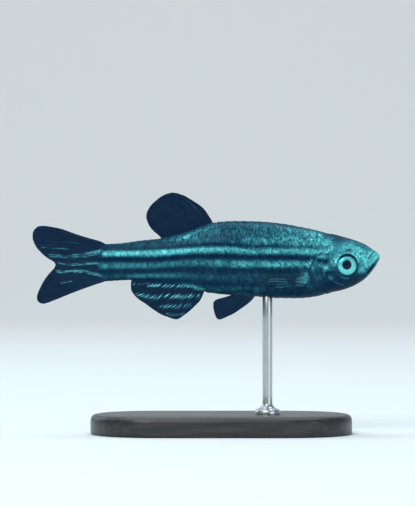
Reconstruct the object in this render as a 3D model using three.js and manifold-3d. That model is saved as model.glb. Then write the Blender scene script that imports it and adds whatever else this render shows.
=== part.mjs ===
// A life-size zebra danio (Danio rerio) on a plain display stand, as a still museum model.
// Millimetres, +Z up, snout towards +X, the fish's right side towards -Y.
// The origin is on the underside of the stand's base, below the middle of the fish.
//
// The fish is drawn in its own two coordinates, seen from the side:
//   a  how far a place lies behind the snout's tip, along the body
//   h  how high it lies over the body's axis
// The body is one loft through named stations; head, gill covers, lower jaw, trunk and tail
// are parted from it by thin cuts, and the fins are plates about half a millimetre thick.

import * as THREE from "three";
import { mergeVertices } from "three/addons/utils/BufferGeometryUtils.js";
import Module from "manifold-3d";

const wasm = await Module();
wasm.setup();

// ---------- driving sizes, in millimetres ----------
const SNOUT_X = 22.57; // the snout's tip, before the origin: half the total length of 45.1
const AXIS_Z = 23.0; // the body's axis over the floor
const GAP = 0.14; // clearance between neighbouring pieces
const FIN_T = 0.5; // thickness of a fin's plate
const COVER_T = 0.62; // thickness of a gill cover
const THROAT = 0.5; // how far from the middle plane the gill covers stay

const VENT = 22.9; // a, where trunk ends and tail begins
const BODY_END = 36.9; // a, the rear end of the fleshy body at mid height
const BODY_END_BOW = 1.15; // how far that end bows back between its upper and lower corner

const EYE = { a: 4.24, h: -0.95, y: 1.36, r: 1.36, deep: 0.93, full: 3.4 }; // the eyeball: centre, radius seen from the side, half its depth, and how full its flanks are

const BASE = { length: 34, width: 17, height: 2.6, bevel: 0.5, x: 2.0 };
const ROD = { r: 0.65, x: 8.0, top: 19.4, sunk: 1.6, play: 0.12 };

// ---------- the body's stations: [a, value] ----------
const TOP = [
  [0, 0.0], [0.1, 0.36], [0.38, 0.64], [1.0, 1.08], [1.75, 1.58], [2.9, 2.08], [4.6, 2.61],
  [7.0, 3.23], [10.0, 3.88], [13.0, 4.4], [16.0, 4.65], [19.2, 4.7], [20.8, 4.6], [21.9, 4.42],
  [23.2, 3.94], [25.0, 3.25], [26.8, 2.72], [28.6, 2.42], [31.2, 2.15], [34.2, 1.78], [36.0, 1.72], [38.0, 1.72],
];
const BOTTOM = [
  [0, 0.0], [0.12, -0.5], [0.4, -1.06], [0.75, -1.58], [1.5, -2.47], [2.5, -3.27], [3.6, -3.86],
  [5.0, -4.34], [6.2, -4.6], [7.2, -4.9], [8.6, -5.2], [10.5, -5.37], [13.0, -5.36], [15.5, -5.2], [18.0, -5.02],
  [20.5, -4.86], [22.3, -4.62], [23.9, -4.12], [25.4, -3.68], [27.2, -3.32], [29.5, -3.12], [32.2, -3.02], [34.5, -3.12],
  [36.0, -3.2], [38.0, -3.2],
];
const HALF_WIDTH = [
  [0, 0], [0.1, 0.46], [0.4, 0.86], [1.0, 1.22], [2.0, 1.58], [3.2, 1.86], [4.6, 2.1], [6.4, 2.36],
  [8.4, 2.56], [10.5, 2.68], [13.5, 2.72], [16.5, 2.62], [19.5, 2.36], [22.5, 2.0], [25.5, 1.6],
  [28.5, 1.24], [31.5, 1.0], [34.0, 0.84], [35.6, 0.68], [36.8, 0.42], [38.0, 0.34],
];
const WIDEST_AT = [[0, 0.5], [2, 0.5], [4.5, 0.46], [8, 0.48], [14, 0.52], [22, 0.54], [30, 0.55], [38, 0.52]]; // share of the depth, from below
const FULL_ABOVE = [[0, 2.1], [2.5, 2.35], [5, 2.35], [9, 2.1], [16, 2.0], [24, 1.9], [32, 2.1], [38, 2.2]]; // superellipse exponents
const FULL_BELOW = [[0, 2.1], [3, 2.0], [6, 1.95], [10, 2.15], [16, 2.1], [21, 1.8], [28, 1.85], [38, 2.2]];

// Cubic through stations, without overshoot, over the square root of a so that the snout is round.
function track(stations) {
  const t = stations.map(([a]) => Math.sqrt(a));
  const v = stations.map((s) => s[1]);
  const n = t.length;
  const slope = (i) => (v[i + 1] - v[i]) / (t[i + 1] - t[i]);
  const m = v.map((_, i) => {
    if (i === 0) return slope(0);
    if (i === n - 1) return slope(n - 2);
    const [p, q, hp, hq] = [slope(i - 1), slope(i), t[i] - t[i - 1], t[i + 1] - t[i]];
    return p * q <= 0 ? 0 : (3 * (hp + hq)) / ((2 * hq + hp) / p + (hq + 2 * hp) / q);
  });
  return (a) => {
    const x = Math.min(Math.max(Math.sqrt(Math.max(a, 0)), t[0]), t[n - 1]);
    let i = 0;
    while (i < n - 2 && x > t[i + 1]) i++;
    const w = t[i + 1] - t[i];
    const s = (x - t[i]) / w;
    return (
      v[i] * (1 + 2 * s) * (1 - s) ** 2 + m[i] * w * s * (1 - s) ** 2 +
      v[i + 1] * s * s * (3 - 2 * s) + m[i + 1] * w * s * s * (s - 1)
    );
  };
}
const topOf = track(TOP);
const bottomOf = track(BOTTOM);
const widthOf = track(HALF_WIDTH);
const widestOf = track(WIDEST_AT);
const aboveOf = track(FULL_ABOVE);
const belowOf = track(FULL_BELOW);

// A place on the body's surface: phi runs from 0 at the top round the left side to 2 pi. inset shrinks the body.
function bodyPoint(a, phi, inset = 0) {
  const top = topOf(a);
  const bottom = bottomOf(a);
  const mid = bottom + (top - bottom) * widestOf(a);
  const up = Math.cos(phi);
  const out = Math.sin(phi);
  const n = up >= 0 ? aboveOf(a) : belowOf(a);
  const r = (Math.abs(up) ** n + Math.abs(out) ** n) ** (-1 / n);
  const tall = Math.max((up >= 0 ? top - mid : mid - bottom) - inset, 0.02);
  const wide = Math.max(widthOf(a) - inset, 0.02);
  return new THREE.Vector3(SNOUT_X - a, wide * out * r, AXIS_Z + mid + tall * up * r);
}

// ---------- closed meshes as solids ----------
function solid(geometry) {
  const g = geometry.index ? geometry.toNonIndexed() : geometry.clone();
  const bare = new THREE.BufferGeometry().setAttribute("position", g.getAttribute("position"));
  const merged = mergeVertices(bare, 1e-4);
  return new wasm.Manifold(
    new wasm.Mesh({
      numProp: 3,
      vertProperties: new Float32Array(merged.attributes.position.array),
      triVerts: new Uint32Array(merged.index.array),
    }),
  );
}

function geometryOf(manifold) {
  const m = manifold.getMesh();
  const n = m.numProp;
  const v = new Float32Array(m.numVert * 3);
  for (let i = 0; i < m.numVert; i++) v.set(m.vertProperties.subarray(i * n, i * n + 3), i * 3);
  const g = new THREE.BufferGeometry();
  g.setAttribute("position", new THREE.BufferAttribute(v, 3));
  g.setIndex(new THREE.BufferAttribute(new Uint32Array(m.triVerts), 1));
  return g;
}

// Rings of points, closed round and capped at both ends.
function ringSolid(rings) {
  const n = rings[0].length;
  const position = rings.flat().flatMap((p) => [p.x, p.y, p.z]);
  const index = [];
  for (let i = 0; i + 1 < rings.length; i++)
    for (let j = 0; j < n; j++) {
      const [p, q] = [i * n + j, i * n + ((j + 1) % n)];
      index.push(p, q, p + n, q, q + n, p + n);
    }
  const cap = (ring, at, flip) => {
    const centre = ring.reduce((s, p) => s.add(p), new THREE.Vector3()).divideScalar(n);
    const c = position.push(centre.x, centre.y, centre.z) / 3 - 1;
    for (let j = 0; j < n; j++) {
      const [p, q] = [at + j, at + ((j + 1) % n)];
      index.push(c, ...(flip ? [p, q] : [q, p]));
    }
  };
  cap(rings[0], 0, false);
  cap(rings.at(-1), (rings.length - 1) * n, true);
  const g = new THREE.BufferGeometry();
  g.setAttribute("position", new THREE.Float32BufferAttribute(position, 3));
  g.setIndex(index);
  const made = solid(g);
  if (made.volume() > 0) return made;
  for (let i = 0; i < index.length; i += 3) [index[i + 1], index[i + 2]] = [index[i + 2], index[i + 1]];
  g.setIndex(index);
  return solid(g);
}

function body(inset, rings, segments) {
  const list = [];
  const from = 0.035 + Math.max(inset, 0);
  const last = Math.sqrt(38.0);
  for (let i = 0; i <= rings; i++) {
    const a = (Math.sqrt(from) + (last - Math.sqrt(from)) * (i / rings)) ** 2;
    const ring = [];
    for (let j = 0; j < segments; j++) ring.push(bodyPoint(a, (2 * Math.PI * j) / segments, inset));
    list.push(ring);
  }
  return ringSolid(list);
}

// A side-view outline, [a, h] pairs, as a prism through the whole width, or from y0 to y1.
function outline(points, smooth = 0) {
  const flat = points.map(([a, h]) => new THREE.Vector2(SNOUT_X - a, AXIS_Z + h));
  return smooth ? new THREE.SplineCurve(flat).getPoints(smooth) : flat;
}
function prism(flat, y0 = -12, y1 = 12) {
  const g = new THREE.ExtrudeGeometry(new THREE.Shape(flat), { depth: y1 - y0, bevelEnabled: false, steps: 1 });
  g.rotateX(Math.PI / 2).translate(0, y1, 0);
  return solid(g);
}

// ---------- the body's parts ----------
const whole = body(0, 46, 28);
const core = body(COVER_T + GAP, 30, 18); // what lies under the gill covers
const coverSpace = body(COVER_T, 30, 18); // the same with its clearance
const grown = body(-GAP, 46, 28); // the body and its clearance, cut out of the fins

// The gill cover's rear edge, from the nape down and forward to the throat.
const GILL_EDGE = [
  [6.9, 0.72], [7.9, 0.28], [8.75, -0.55], [9.15, -1.65], [9.1, -2.75], [8.5, -3.75], [7.6, -4.45], [6.35, -4.95],
];
// Its front edge, round the cheek behind the eye.
const GILL_FRONT = [
  [5.5, -4.75], [5.75, -4.0], [6.35, -3.2], [6.7, -2.3], [6.72, -1.3], [6.55, -0.3], [6.7, 0.45],
];
const gillRear = outline(GILL_EDGE, 16);
const gillFront = outline(GILL_FRONT, 12);
// The same line, moved sideways by d: towards the tail for a line that runs downwards.
function beside(flat, d) {
  return flat.map((p, i) => {
    const along = new THREE.Vector2().subVectors(flat[Math.min(i + 1, flat.length - 1)], flat[Math.max(i - 1, 0)]).normalize();
    return new THREE.Vector2(p.x + along.y * d, p.y - along.x * d);
  });
}

// Everything before the gill cover's edge is head.
const highOver = (a) => new THREE.Vector2(SNOUT_X - a, AXIS_Z + 9);
const headSide = (da) => {
  const edge = beside(gillRear, da);
  return prism([
    new THREE.Vector2(SNOUT_X + 3, AXIS_Z + 9), highOver(6.4 + da), ...edge,
    new THREE.Vector2(SNOUT_X - 6.1 - da, AXIS_Z - 9), new THREE.Vector2(SNOUT_X + 3, AXIS_Z - 9),
  ]);
};
const behindHead = (da) => {
  const edge = beside(gillRear, da);
  return prism([
    highOver(6.4 + da), new THREE.Vector2(SNOUT_X - 45, AXIS_Z + 9), new THREE.Vector2(SNOUT_X - 45, AXIS_Z - 9),
    new THREE.Vector2(SNOUT_X - 6.1 - da, AXIS_Z - 9), ...[...edge].reverse(),
  ]);
};
const slab = (a0, a1) => prism(outline([[a0, 9], [a1, 9], [a1, -9], [a0, -9]]));

const headAll = whole.intersect(headSide(0));
const behind = whole.intersect(behindHead(GAP));

// The tail's rear end bows back over the fin's rays.
const endCurve = (extra) => {
  const flat = [];
  for (let i = 0; i <= 12; i++) {
    const s = -1 + (2 * i) / 12;
    const h = -0.72 + s * 2.9;
    flat.push([BODY_END + extra - BODY_END_BOW * s * s, h]);
  }
  return flat;
};
const beforeEnd = prism(outline([[20, -9], ...[[BODY_END - BODY_END_BOW - 0.3, -9]], ...endCurve(0), [BODY_END - BODY_END_BOW - 0.3, 9], [20, 9]]));
const afterEnd = prism(outline([...endCurve(GAP), [BODY_END - BODY_END_BOW - 0.3 + GAP, 9], [50, 9], [50, -9], [BODY_END - BODY_END_BOW - 0.3 + GAP, -9]]));

let trunk = behind.intersect(slab(0, VENT));
const tail = behind.intersect(slab(VENT + GAP, 45)).intersect(beforeEnd);

// Gill covers: plates over the core, between their front and rear edges, one on each side.
const coverBlock = prism([...beside(gillFront, -GAP), ...gillRear]);
const coverRoom = prism([...gillFront, ...beside(gillRear, 0.5)]);
const cover = headAll.intersect(coverBlock).subtract(coverSpace);
const aside = (y0, y1) => prism(outline([[-5, 12], [60, 12], [60, -12], [-5, -12]]), y0, y1);
const pieces = (m) => m.decompose().sort((p, q) => q.volume() - p.volume())[0];
const coverRight = pieces(cover.intersect(aside(-12, -THROAT)));
const coverLeft = pieces(cover.intersect(aside(THROAT, 12)));
const halves = aside(-12, -THROAT + GAP).add(aside(THROAT - GAP, 12));
let head = headAll.subtract(coverRoom.intersect(halves).subtract(core));

// The mouth is steep: it opens at the tip and runs down and back to its corner under the nostrils.
const MOUTH = [[-0.6, 0.1], [0.22, -0.18], [0.62, -0.72], [1.05, -1.32], [1.62, -1.98], [2.15, -2.42]];
// Behind the mouth's corner the jaw's edge runs back along the throat.
const JAW_BACK = [[2.75, -2.72], [3.55, -3.28], [4.3, -3.85], [4.9, -4.6]];
const mouthFlat = outline([...MOUTH, ...JAW_BACK]);
const slit = (w) => [...mouthFlat.map((p) => new THREE.Vector2(p.x + w, p.y - w)), ...[...mouthFlat].reverse()];
const underJaw = (w) =>
  prism([
    ...mouthFlat.map((p) => new THREE.Vector2(p.x + w, p.y - w)),
    new THREE.Vector2(SNOUT_X - 4.9 + w, AXIS_Z - 9), new THREE.Vector2(SNOUT_X + 3, AXIS_Z - 9), new THREE.Vector2(SNOUT_X + 3, AXIS_Z + 0.1 - w),
  ]);
const mouthCut = prism(slit(0.1));
const lowerJaw = pieces(head.intersect(underJaw(0.1)));
head = head.subtract(underJaw(0)).subtract(mouthCut);

// Eye sockets and the nostrils' pits.
const ball = (r, ry, x, y, z, w = 22, t = 11) =>
  solid(new THREE.SphereGeometry(1, w, t).rotateX(Math.PI / 2).scale(r, ry, r).translate(x, y, z));
function eyeball(side, more) {
  const bow = [];
  for (let i = 0; i <= 12; i++) {
    const t = -Math.PI / 2 + (Math.PI * i) / 12;
    const flank = i % 12 === 0 ? 0 : Math.cos(t) ** (2 / EYE.full);
    bow.push(new THREE.Vector2((EYE.r + more) * flank, (EYE.deep + more) * Math.sign(Math.sin(t)) * Math.abs(Math.sin(t)) ** (2 / EYE.full)));
  }
  return solid(new THREE.LatheGeometry(bow, 20).translate(SNOUT_X - EYE.a, side * EYE.y, AXIS_Z + EYE.h));
}
const drum = (r, y0, y1) =>
  solid(new THREE.CylinderGeometry(r, r, y1 - y0, 28).translate(SNOUT_X - EYE.a, (y0 + y1) / 2, AXIS_Z + EYE.h));
for (const side of [-1, 1]) {
  head = head.subtract(eyeball(side, GAP));
  head = head.subtract(side < 0 ? drum(EYE.r + GAP, -4, -EYE.y) : drum(EYE.r + GAP, EYE.y, 4));
  head = head.subtract(ball(0.2, 0.2, SNOUT_X - 2.18, side * (widthOf(2.18) * 0.86), AXIS_Z + 0.95, 10, 6));
}
head = pieces(head);
trunk = pieces(trunk);

// ---------- fins ----------
// A flat plate within a smooth edge, on the middle plane.
function plate(points, divisions, t = FIN_T) {
  return prism(outline(points, divisions), -t / 2, t / 2);
}
const DORSAL = [
  [21.55, 3.9], [21.9, 4.75], [22.95, 6.3], [24.4, 7.5], [26.2, 8.25], [27.1, 8.38], [28.2, 8.0], [29.5, 7.05],
  [30.2, 5.9], [30.25, 4.7], [29.5, 3.35], [28.3, 2.5], [27.9, 1.9],
];
const ANAL = [
  [22.55, -4.0], [23.0, -4.95], [24.0, -6.15], [25.3, -7.4], [26.35, -8.1], [27.5, -7.55], [29.2, -6.65],
  [31.0, -5.35], [32.0, -4.25], [32.3, -3.4], [32.1, -2.6],
];
const dorsalFin = pieces(plate(DORSAL, 44).subtract(grown));
const analFin = pieces(plate(ANAL, 40).subtract(grown));

// The forked tail fin, as its upper and its lower lobe, parted along the fork.
const CAUDAL_UPPER = [
  [35.0, 1.76], [36.4, 2.12], [38.0, 2.62], [40.2, 3.3], [42.3, 3.88], [43.8, 4.06], [44.7, 3.8], [45.1, 3.0],
  [44.95, 1.9], [44.3, 0.9], [43.5, 0.1], [42.7, -0.4], [42.15, -0.72],
];
const CAUDAL_LOWER = [
  [42.15, -0.92], [42.35, -1.5], [43.0, -2.35], [43.75, -3.45], [44.35, -4.55], [44.6, -5.25], [44.35, -5.85],
  [43.7, -6.05], [42.5, -5.7], [40.5, -4.95], [38.5, -4.2], [36.8, -3.6], [35.0, -3.22],
];
const upperFlat = [...outline(CAUDAL_UPPER, 44), ...outline([[35.0, -0.74]])];
const lowerFlat = [...outline(CAUDAL_LOWER, 44), ...outline([[35.0, -0.9]])];
const caudalUpper = pieces(prism(upperFlat, -FIN_T / 2, FIN_T / 2).intersect(afterEnd));
const caudalLower = pieces(prism(lowerFlat, -FIN_T / 2, FIN_T / 2).intersect(afterEnd));

// A paired fin is drawn flat, then leans out from its root: lean is its slope in y for each millimetre down or back.
function pairedFin(points, divisions, side, root, leanDown, leanBack) {
  const g = geometryOf(prism(outline(points, divisions), -FIN_T / 2, FIN_T / 2));
  const p = g.attributes.position;
  for (let i = 0; i < p.count; i++) {
    const back = SNOUT_X - root.a - p.getX(i);
    const down = AXIS_Z + root.h - p.getZ(i);
    p.setY(i, side * (root.y + leanDown * Math.max(down, -1) + leanBack * Math.max(back, -1) + p.getY(i) * side));
  }
  return pieces(solid(g).subtract(grown));
}
const PELVIC = [
  [16.25, -5.05], [17.0, -5.95], [18.6, -6.95], [20.0, -7.75], [20.95, -8.12], [21.45, -7.6], [21.7, -6.5],
  [21.6, -5.55], [20.6, -5.2], [19.2, -4.98], [18.0, -4.7], [16.8, -4.6],
];
const PECTORAL = [
  [9.15, -3.35], [9.4, -2.45], [10.4, -2.25], [12.2, -2.15], [14.0, -2.3], [15.4, -2.75], [15.9, -3.2], [15.2, -3.65],
  [13.4, -4.05], [11.4, -4.0], [9.8, -3.65],
];
const pelvic = (side) => pairedFin(PELVIC, 34, side, { a: 16.8, h: -4.7, y: 0.95 }, 0.3, 0.02);
const pectoral = (side) => pairedFin(PECTORAL, 34, side, { a: 9.3, h: -3.0, y: 2.75 }, 0.0, 0.2);

// ---------- barbels: a short pair on the upper lip and a longer pair at the mouth's corners ----------
function barbel(points, side) {
  const curve = new THREE.CatmullRomCurve3(points.map(([a, y, h]) => new THREE.Vector3(SNOUT_X - a, side * y, AXIS_Z + h)));
  const ring = new THREE.Shape(
    Array.from({ length: 8 }, (_, i) => new THREE.Vector2(0.25 * Math.cos((i * Math.PI) / 4), 0.25 * Math.sin((i * Math.PI) / 4))),
  );
  return pieces(solid(new THREE.ExtrudeGeometry(ring, { steps: 8, bevelEnabled: false, extrudePath: curve })).subtract(grown));
}
const RICTAL = [[2.05, 1.2, -2.3], [2.7, 1.62, -2.78], [3.8, 1.98, -3.22], [5.0, 2.2, -3.45]];
const ROSTRAL = [[0.72, 1.0, 0.15], [0.95, 1.4, -0.1], [1.35, 1.76, -0.6], [1.75, 2.0, -1.15]];

// ---------- the stand ----------
function baseSolid() {
  const [l, w, b] = [BASE.length / 2 - BASE.bevel, BASE.width / 2 - BASE.bevel, BASE.bevel];
  const r = w; // round ends
  const s = new THREE.Shape();
  s.moveTo(-l + r, -w).lineTo(l - r, -w).absarc(l - r, 0, r, -Math.PI / 2, Math.PI / 2, false);
  s.lineTo(-l + r, w).absarc(-l + r, 0, r, Math.PI / 2, (3 * Math.PI) / 2, false);
  const g = new THREE.ExtrudeGeometry(s, {
    depth: BASE.height - 2 * b, bevelThickness: b, bevelSize: b, bevelSegments: 2, curveSegments: 11,
  });
  g.translate(BASE.x, 0, b);
  return solid(g);
}
const cylinder = (r, z0, z1, x, sides = 24) =>
  solid(new THREE.CylinderGeometry(r, r, z1 - z0, sides).rotateX(Math.PI / 2).translate(x, 0, (z0 + z1) / 2));
const rodFoot = BASE.height - ROD.sunk;
const rod = cylinder(ROD.r, rodFoot, ROD.top, ROD.x);
const base = baseSolid().subtract(cylinder(ROD.r + ROD.play, rodFoot - ROD.play, BASE.height + 1, ROD.x));
trunk = trunk.subtract(cylinder(ROD.r + ROD.play, 12, ROD.top + ROD.play, ROD.x));

// ---------- the scene graph ----------
const finish = {
  flank: { color: 0x6fa5a8, roughness: 0.42, metalness: 0.1 },
  cover: { color: 0x5f8f99, roughness: 0.35, metalness: 0.15 },
  fin: { color: 0x1a2c48, roughness: 0.5, metalness: 0.0 },
  eye: { color: 0xbfe3e0, roughness: 0.15, metalness: 0.1 },
  base: { color: 0x1c1d20, roughness: 0.45, metalness: 0.0 },
  rod: { color: 0xb9bdc0, roughness: 0.3, metalness: 0.9 },
};
const fish = new THREE.Group();
const stand = new THREE.Group();
const add = (group, name, manifold, look) => {
  const mesh = new THREE.Mesh(geometryOf(manifold), new THREE.MeshStandardMaterial(finish[look]));
  mesh.name = name;
  group.add(mesh);
};
add(fish, "head", head, "flank");
add(fish, "lower_jaw", lowerJaw, "flank");
add(fish, "gill_cover_right", coverRight, "cover");
add(fish, "gill_cover_left", coverLeft, "cover");
add(fish, "trunk", trunk, "flank");
add(fish, "tail", tail, "flank");
add(fish, "eye_right", eyeball(-1, 0), "eye");
add(fish, "eye_left", eyeball(1, 0), "eye");
add(fish, "dorsal_fin", dorsalFin, "fin");
add(fish, "anal_fin", analFin, "fin");
add(fish, "tail_fin_upper", caudalUpper, "fin");
add(fish, "tail_fin_lower", caudalLower, "fin");
add(fish, "pelvic_fin_right", pelvic(-1), "fin");
add(fish, "pelvic_fin_left", pelvic(1), "fin");
add(fish, "pectoral_fin_right", pectoral(-1), "fin");
add(fish, "pectoral_fin_left", pectoral(1), "fin");
add(fish, "barbel_lip_right", barbel(ROSTRAL, -1), "flank");
add(fish, "barbel_lip_left", barbel(ROSTRAL, 1), "flank");
add(fish, "barbel_mouth_right", barbel(RICTAL, -1), "flank");
add(fish, "barbel_mouth_left", barbel(RICTAL, 1), "flank");
add(stand, "stand_base", base, "base");
add(stand, "stand_rod", rod, "rod");

const part = new THREE.Group();
part.add(fish, stand);

export default part;
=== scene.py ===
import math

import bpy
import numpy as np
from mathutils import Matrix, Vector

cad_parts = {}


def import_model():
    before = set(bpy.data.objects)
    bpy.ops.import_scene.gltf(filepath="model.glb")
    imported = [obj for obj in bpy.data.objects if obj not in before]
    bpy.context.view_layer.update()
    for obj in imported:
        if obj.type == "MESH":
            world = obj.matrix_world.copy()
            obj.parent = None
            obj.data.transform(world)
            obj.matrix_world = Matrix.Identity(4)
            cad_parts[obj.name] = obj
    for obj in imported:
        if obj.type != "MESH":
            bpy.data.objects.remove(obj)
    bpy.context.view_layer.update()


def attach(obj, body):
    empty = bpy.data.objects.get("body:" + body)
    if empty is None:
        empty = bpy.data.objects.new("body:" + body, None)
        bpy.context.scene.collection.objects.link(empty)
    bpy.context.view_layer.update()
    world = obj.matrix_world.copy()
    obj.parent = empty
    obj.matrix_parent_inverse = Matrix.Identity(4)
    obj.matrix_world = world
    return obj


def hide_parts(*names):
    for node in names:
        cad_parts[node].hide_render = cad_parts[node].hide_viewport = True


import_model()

# The looks of a zebra danio: one skin over head, gill covers, trunk and tail, a coat of solid
# scales on each side, fins with rays, eyes, barbels, and the finish of the stand.
# Everything is worked out in millimetres in the fish's own side view and written in metres:
#   a  how far a place lies behind the snout's tip      h  how high it lies over the body's axis
#   y  sideways, the fish's left side positive

MM = 0.001
SNOUT_X = 22.57
AXIS_Z = 23.0
PI = math.pi


# ------------------------------------------------------------------ small helpers
def smooth(lo, hi, x):
    """0 below lo, 1 above hi, smooth between; lo may be the larger."""
    t = np.clip((np.asarray(x, float) - lo) / (hi - lo), 0, 1)
    return t * t * (3 - 2 * t)


def bump(x, width):
    return np.exp(-((np.asarray(x, float) / width) ** 2))


def speck(x, y, seed=0.0):
    """Smooth random values from 0 to 1, one hill or hollow for each unit of x and y."""
    xi, yi = np.floor(x), np.floor(y)
    fx, fy = x - xi, y - yi
    fx, fy = fx * fx * (3 - 2 * fx), fy * fy * (3 - 2 * fy)

    def at(i, j):
        n = np.sin(i * 127.1 + j * 311.7 + seed * 74.7) * 43758.5453
        return n - np.floor(n)
    return (at(xi, yi) * (1 - fx) + at(xi + 1, yi) * fx) * (1 - fy) + (at(xi, yi + 1) * (1 - fx) + at(xi + 1, yi + 1) * fx) * fy


def pchip(x, xs, vs):
    """Cubic through stations, without overshoot."""
    xs, vs = np.asarray(xs, float), np.asarray(vs, float)
    h = np.diff(xs)
    d = np.diff(vs) / h
    m = np.zeros_like(vs)
    m[0], m[-1] = d[0], d[-1]
    same = d[:-1] * d[1:] > 0
    hp, hq, p, q = h[:-1], h[1:], d[:-1], d[1:]
    with np.errstate(divide="ignore", invalid="ignore"):
        inner = 3 * (hp + hq) / ((2 * hq + hp) / p + (hq + 2 * hp) / q)
    m[1:-1] = np.where(same, inner, 0)
    x = np.clip(np.asarray(x, float), xs[0], xs[-1])
    i = np.clip(np.searchsorted(xs, x, "right") - 1, 0, len(h) - 1)
    s = (x - xs[i]) / h[i]
    return (vs[i] * (1 + 2 * s) * (1 - s) ** 2 + m[i] * h[i] * s * (1 - s) ** 2
            + vs[i + 1] * s * s * (3 - 2 * s) + m[i + 1] * h[i] * s * s * (s - 1))


def track(stations):
    """A value along the body; stations are (a, value), smooth over the square root of a."""
    xs = [math.sqrt(s[0]) for s in stations]
    vs = [s[1] for s in stations]
    return lambda a: pchip(np.sqrt(np.maximum(a, 0)), xs, vs)


def line(points, count):
    """A smooth open line through (a, h) points, evenly spaced."""
    p = np.asarray(points, float)
    d = np.r_[0, np.cumsum(np.hypot(*np.diff(p, axis=0).T))]
    t = np.linspace(0, d[-1], 400)
    fine = np.c_[pchip(t, d, p[:, 0]), pchip(t, d, p[:, 1])] if p.shape[1] == 2 else np.c_[
        pchip(t, d, p[:, 0]), pchip(t, d, p[:, 1]), pchip(t, d, p[:, 2])]
    d = np.r_[0, np.cumsum(np.sqrt((np.diff(fine, axis=0) ** 2).sum(1)))]
    t = np.linspace(0, d[-1], count)
    return np.stack([np.interp(t, d, fine[:, k]) for k in range(fine.shape[1])], 1)


def beside(a, h, points, count=40):
    """Signed distance of places to a line, and how far along it they lie, from 0 to 1.
    The distance is positive on the left of the line as it is drawn with a to the right and h up."""
    p = line(points, count)
    best = np.full(a.shape, 1e9)
    sign = np.ones(a.shape)
    where = np.zeros(a.shape)
    for k in range(len(p) - 1):
        d = p[k + 1] - p[k]
        n2 = d @ d
        t = np.clip(((a - p[k, 0]) * d[0] + (h - p[k, 1]) * d[1]) / n2, 0, 1)
        dx, dh = a - (p[k, 0] + t * d[0]), h - (p[k, 1] + t * d[1])
        r = np.hypot(dx, dh)
        near = r < best
        best = np.where(near, r, best)
        sign = np.where(near, np.sign(d[0] * dh - d[1] * dx), sign)
        where = np.where(near, (k + t) / (len(p) - 1), where)
    return best * np.where(sign == 0, 1, sign), where


# ------------------------------------------------------------------ the body's form
TOP = track([
    (0, 0.0), (0.1, 0.36), (0.38, 0.64), (1.0, 1.08), (1.75, 1.58), (2.9, 2.08), (4.6, 2.61),
    (7.0, 3.23), (10.0, 3.88), (13.0, 4.4), (16.0, 4.65), (19.2, 4.7), (20.8, 4.6), (21.9, 4.42),
    (23.2, 3.94), (25.0, 3.25), (26.8, 2.72), (28.6, 2.42), (31.2, 2.15), (34.2, 1.78), (36.0, 1.72), (38.0, 1.72)])
BOTTOM = track([
    (0, 0.0), (0.12, -0.5), (0.4, -1.06), (0.75, -1.58), (1.5, -2.47), (2.5, -3.27), (3.6, -3.86),
    (5.0, -4.34), (6.2, -4.6), (7.2, -4.9), (8.6, -5.2), (10.5, -5.37), (13.0, -5.36), (15.5, -5.2), (18.0, -5.02),
    (20.5, -4.86), (22.3, -4.62), (23.9, -4.12), (25.4, -3.68), (27.2, -3.32), (29.5, -3.12), (32.2, -3.02), (34.5, -3.12),
    (36.0, -3.2), (38.0, -3.2)])
HALF_WIDTH = track([
    (0, 0), (0.1, 0.46), (0.4, 0.86), (1.0, 1.22), (2.0, 1.58), (3.2, 1.86), (4.6, 2.1), (6.4, 2.36),
    (8.4, 2.56), (10.5, 2.68), (13.5, 2.72), (16.5, 2.62), (19.5, 2.36), (22.5, 2.0), (25.5, 1.6),
    (28.5, 1.24), (31.5, 1.0), (34.0, 0.84), (35.6, 0.68), (36.8, 0.42), (38.0, 0.34)])
WIDEST = track([(0, 0.5), (2, 0.5), (4.5, 0.46), (8, 0.48), (14, 0.52), (22, 0.54), (30, 0.55), (38, 0.52)])
FULL_UP = track([(0, 2.1), (2.5, 2.35), (5, 2.35), (9, 2.1), (16, 2.0), (24, 1.9), (32, 2.1), (38, 2.2)])
FULL_DOWN = track([(0, 2.1), (3, 2.0), (6, 1.95), (10, 2.15), (16, 2.1), (21, 1.8), (28, 1.85), (38, 2.2)])

BODY_END, END_BOW = 36.9, 1.15  # where the fleshy body ends on the tail fin, and how it bows back there
COAT = 0.085                    # how deep the skin lies under the coat of scales

EYE_A, EYE_H, EYE_Y, EYE_R, EYE_DEEP, EYE_FULL = 4.3, -1.07, 1.36, 1.37, 0.93, 2.8
EYE_LEAN = 0.15                 # how the eyeball's face turns forwards, following the head's taper
IRIS_A, IRIS_H, IRIS_R = 4.315, -1.155, 1.2       # the bright ring sits low and to the rear in the eyeball
PUPIL_A, PUPIL_H, PUPIL_R = 4.36, -1.0, 0.595

MOUTH = [(-0.6, 0.12), (0.22, -0.14), (0.62, -0.7), (1.05, -1.3), (1.55, -1.92), (1.98, -2.3)]
LIP_FOLD = [(0.86, 0.62), (1.06, 0.32), (1.34, -0.05), (1.56, -0.36)]
JAW_EDGE = [(1.98, -2.3), (2.6, -2.72), (3.5, -3.3), (4.4, -3.95)]
GILL_EDGE = [(6.9, 0.72), (7.9, 0.28), (8.75, -0.55), (9.15, -1.65), (9.1, -2.75), (8.5, -3.75), (7.6, -4.45), (6.35, -4.95)]
CHEEK_EDGE = [(6.25, -0.55), (6.68, -1.5), (6.6, -2.35), (6.1, -3.1), (5.5, -3.52), (4.45, -3.78)]


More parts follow.
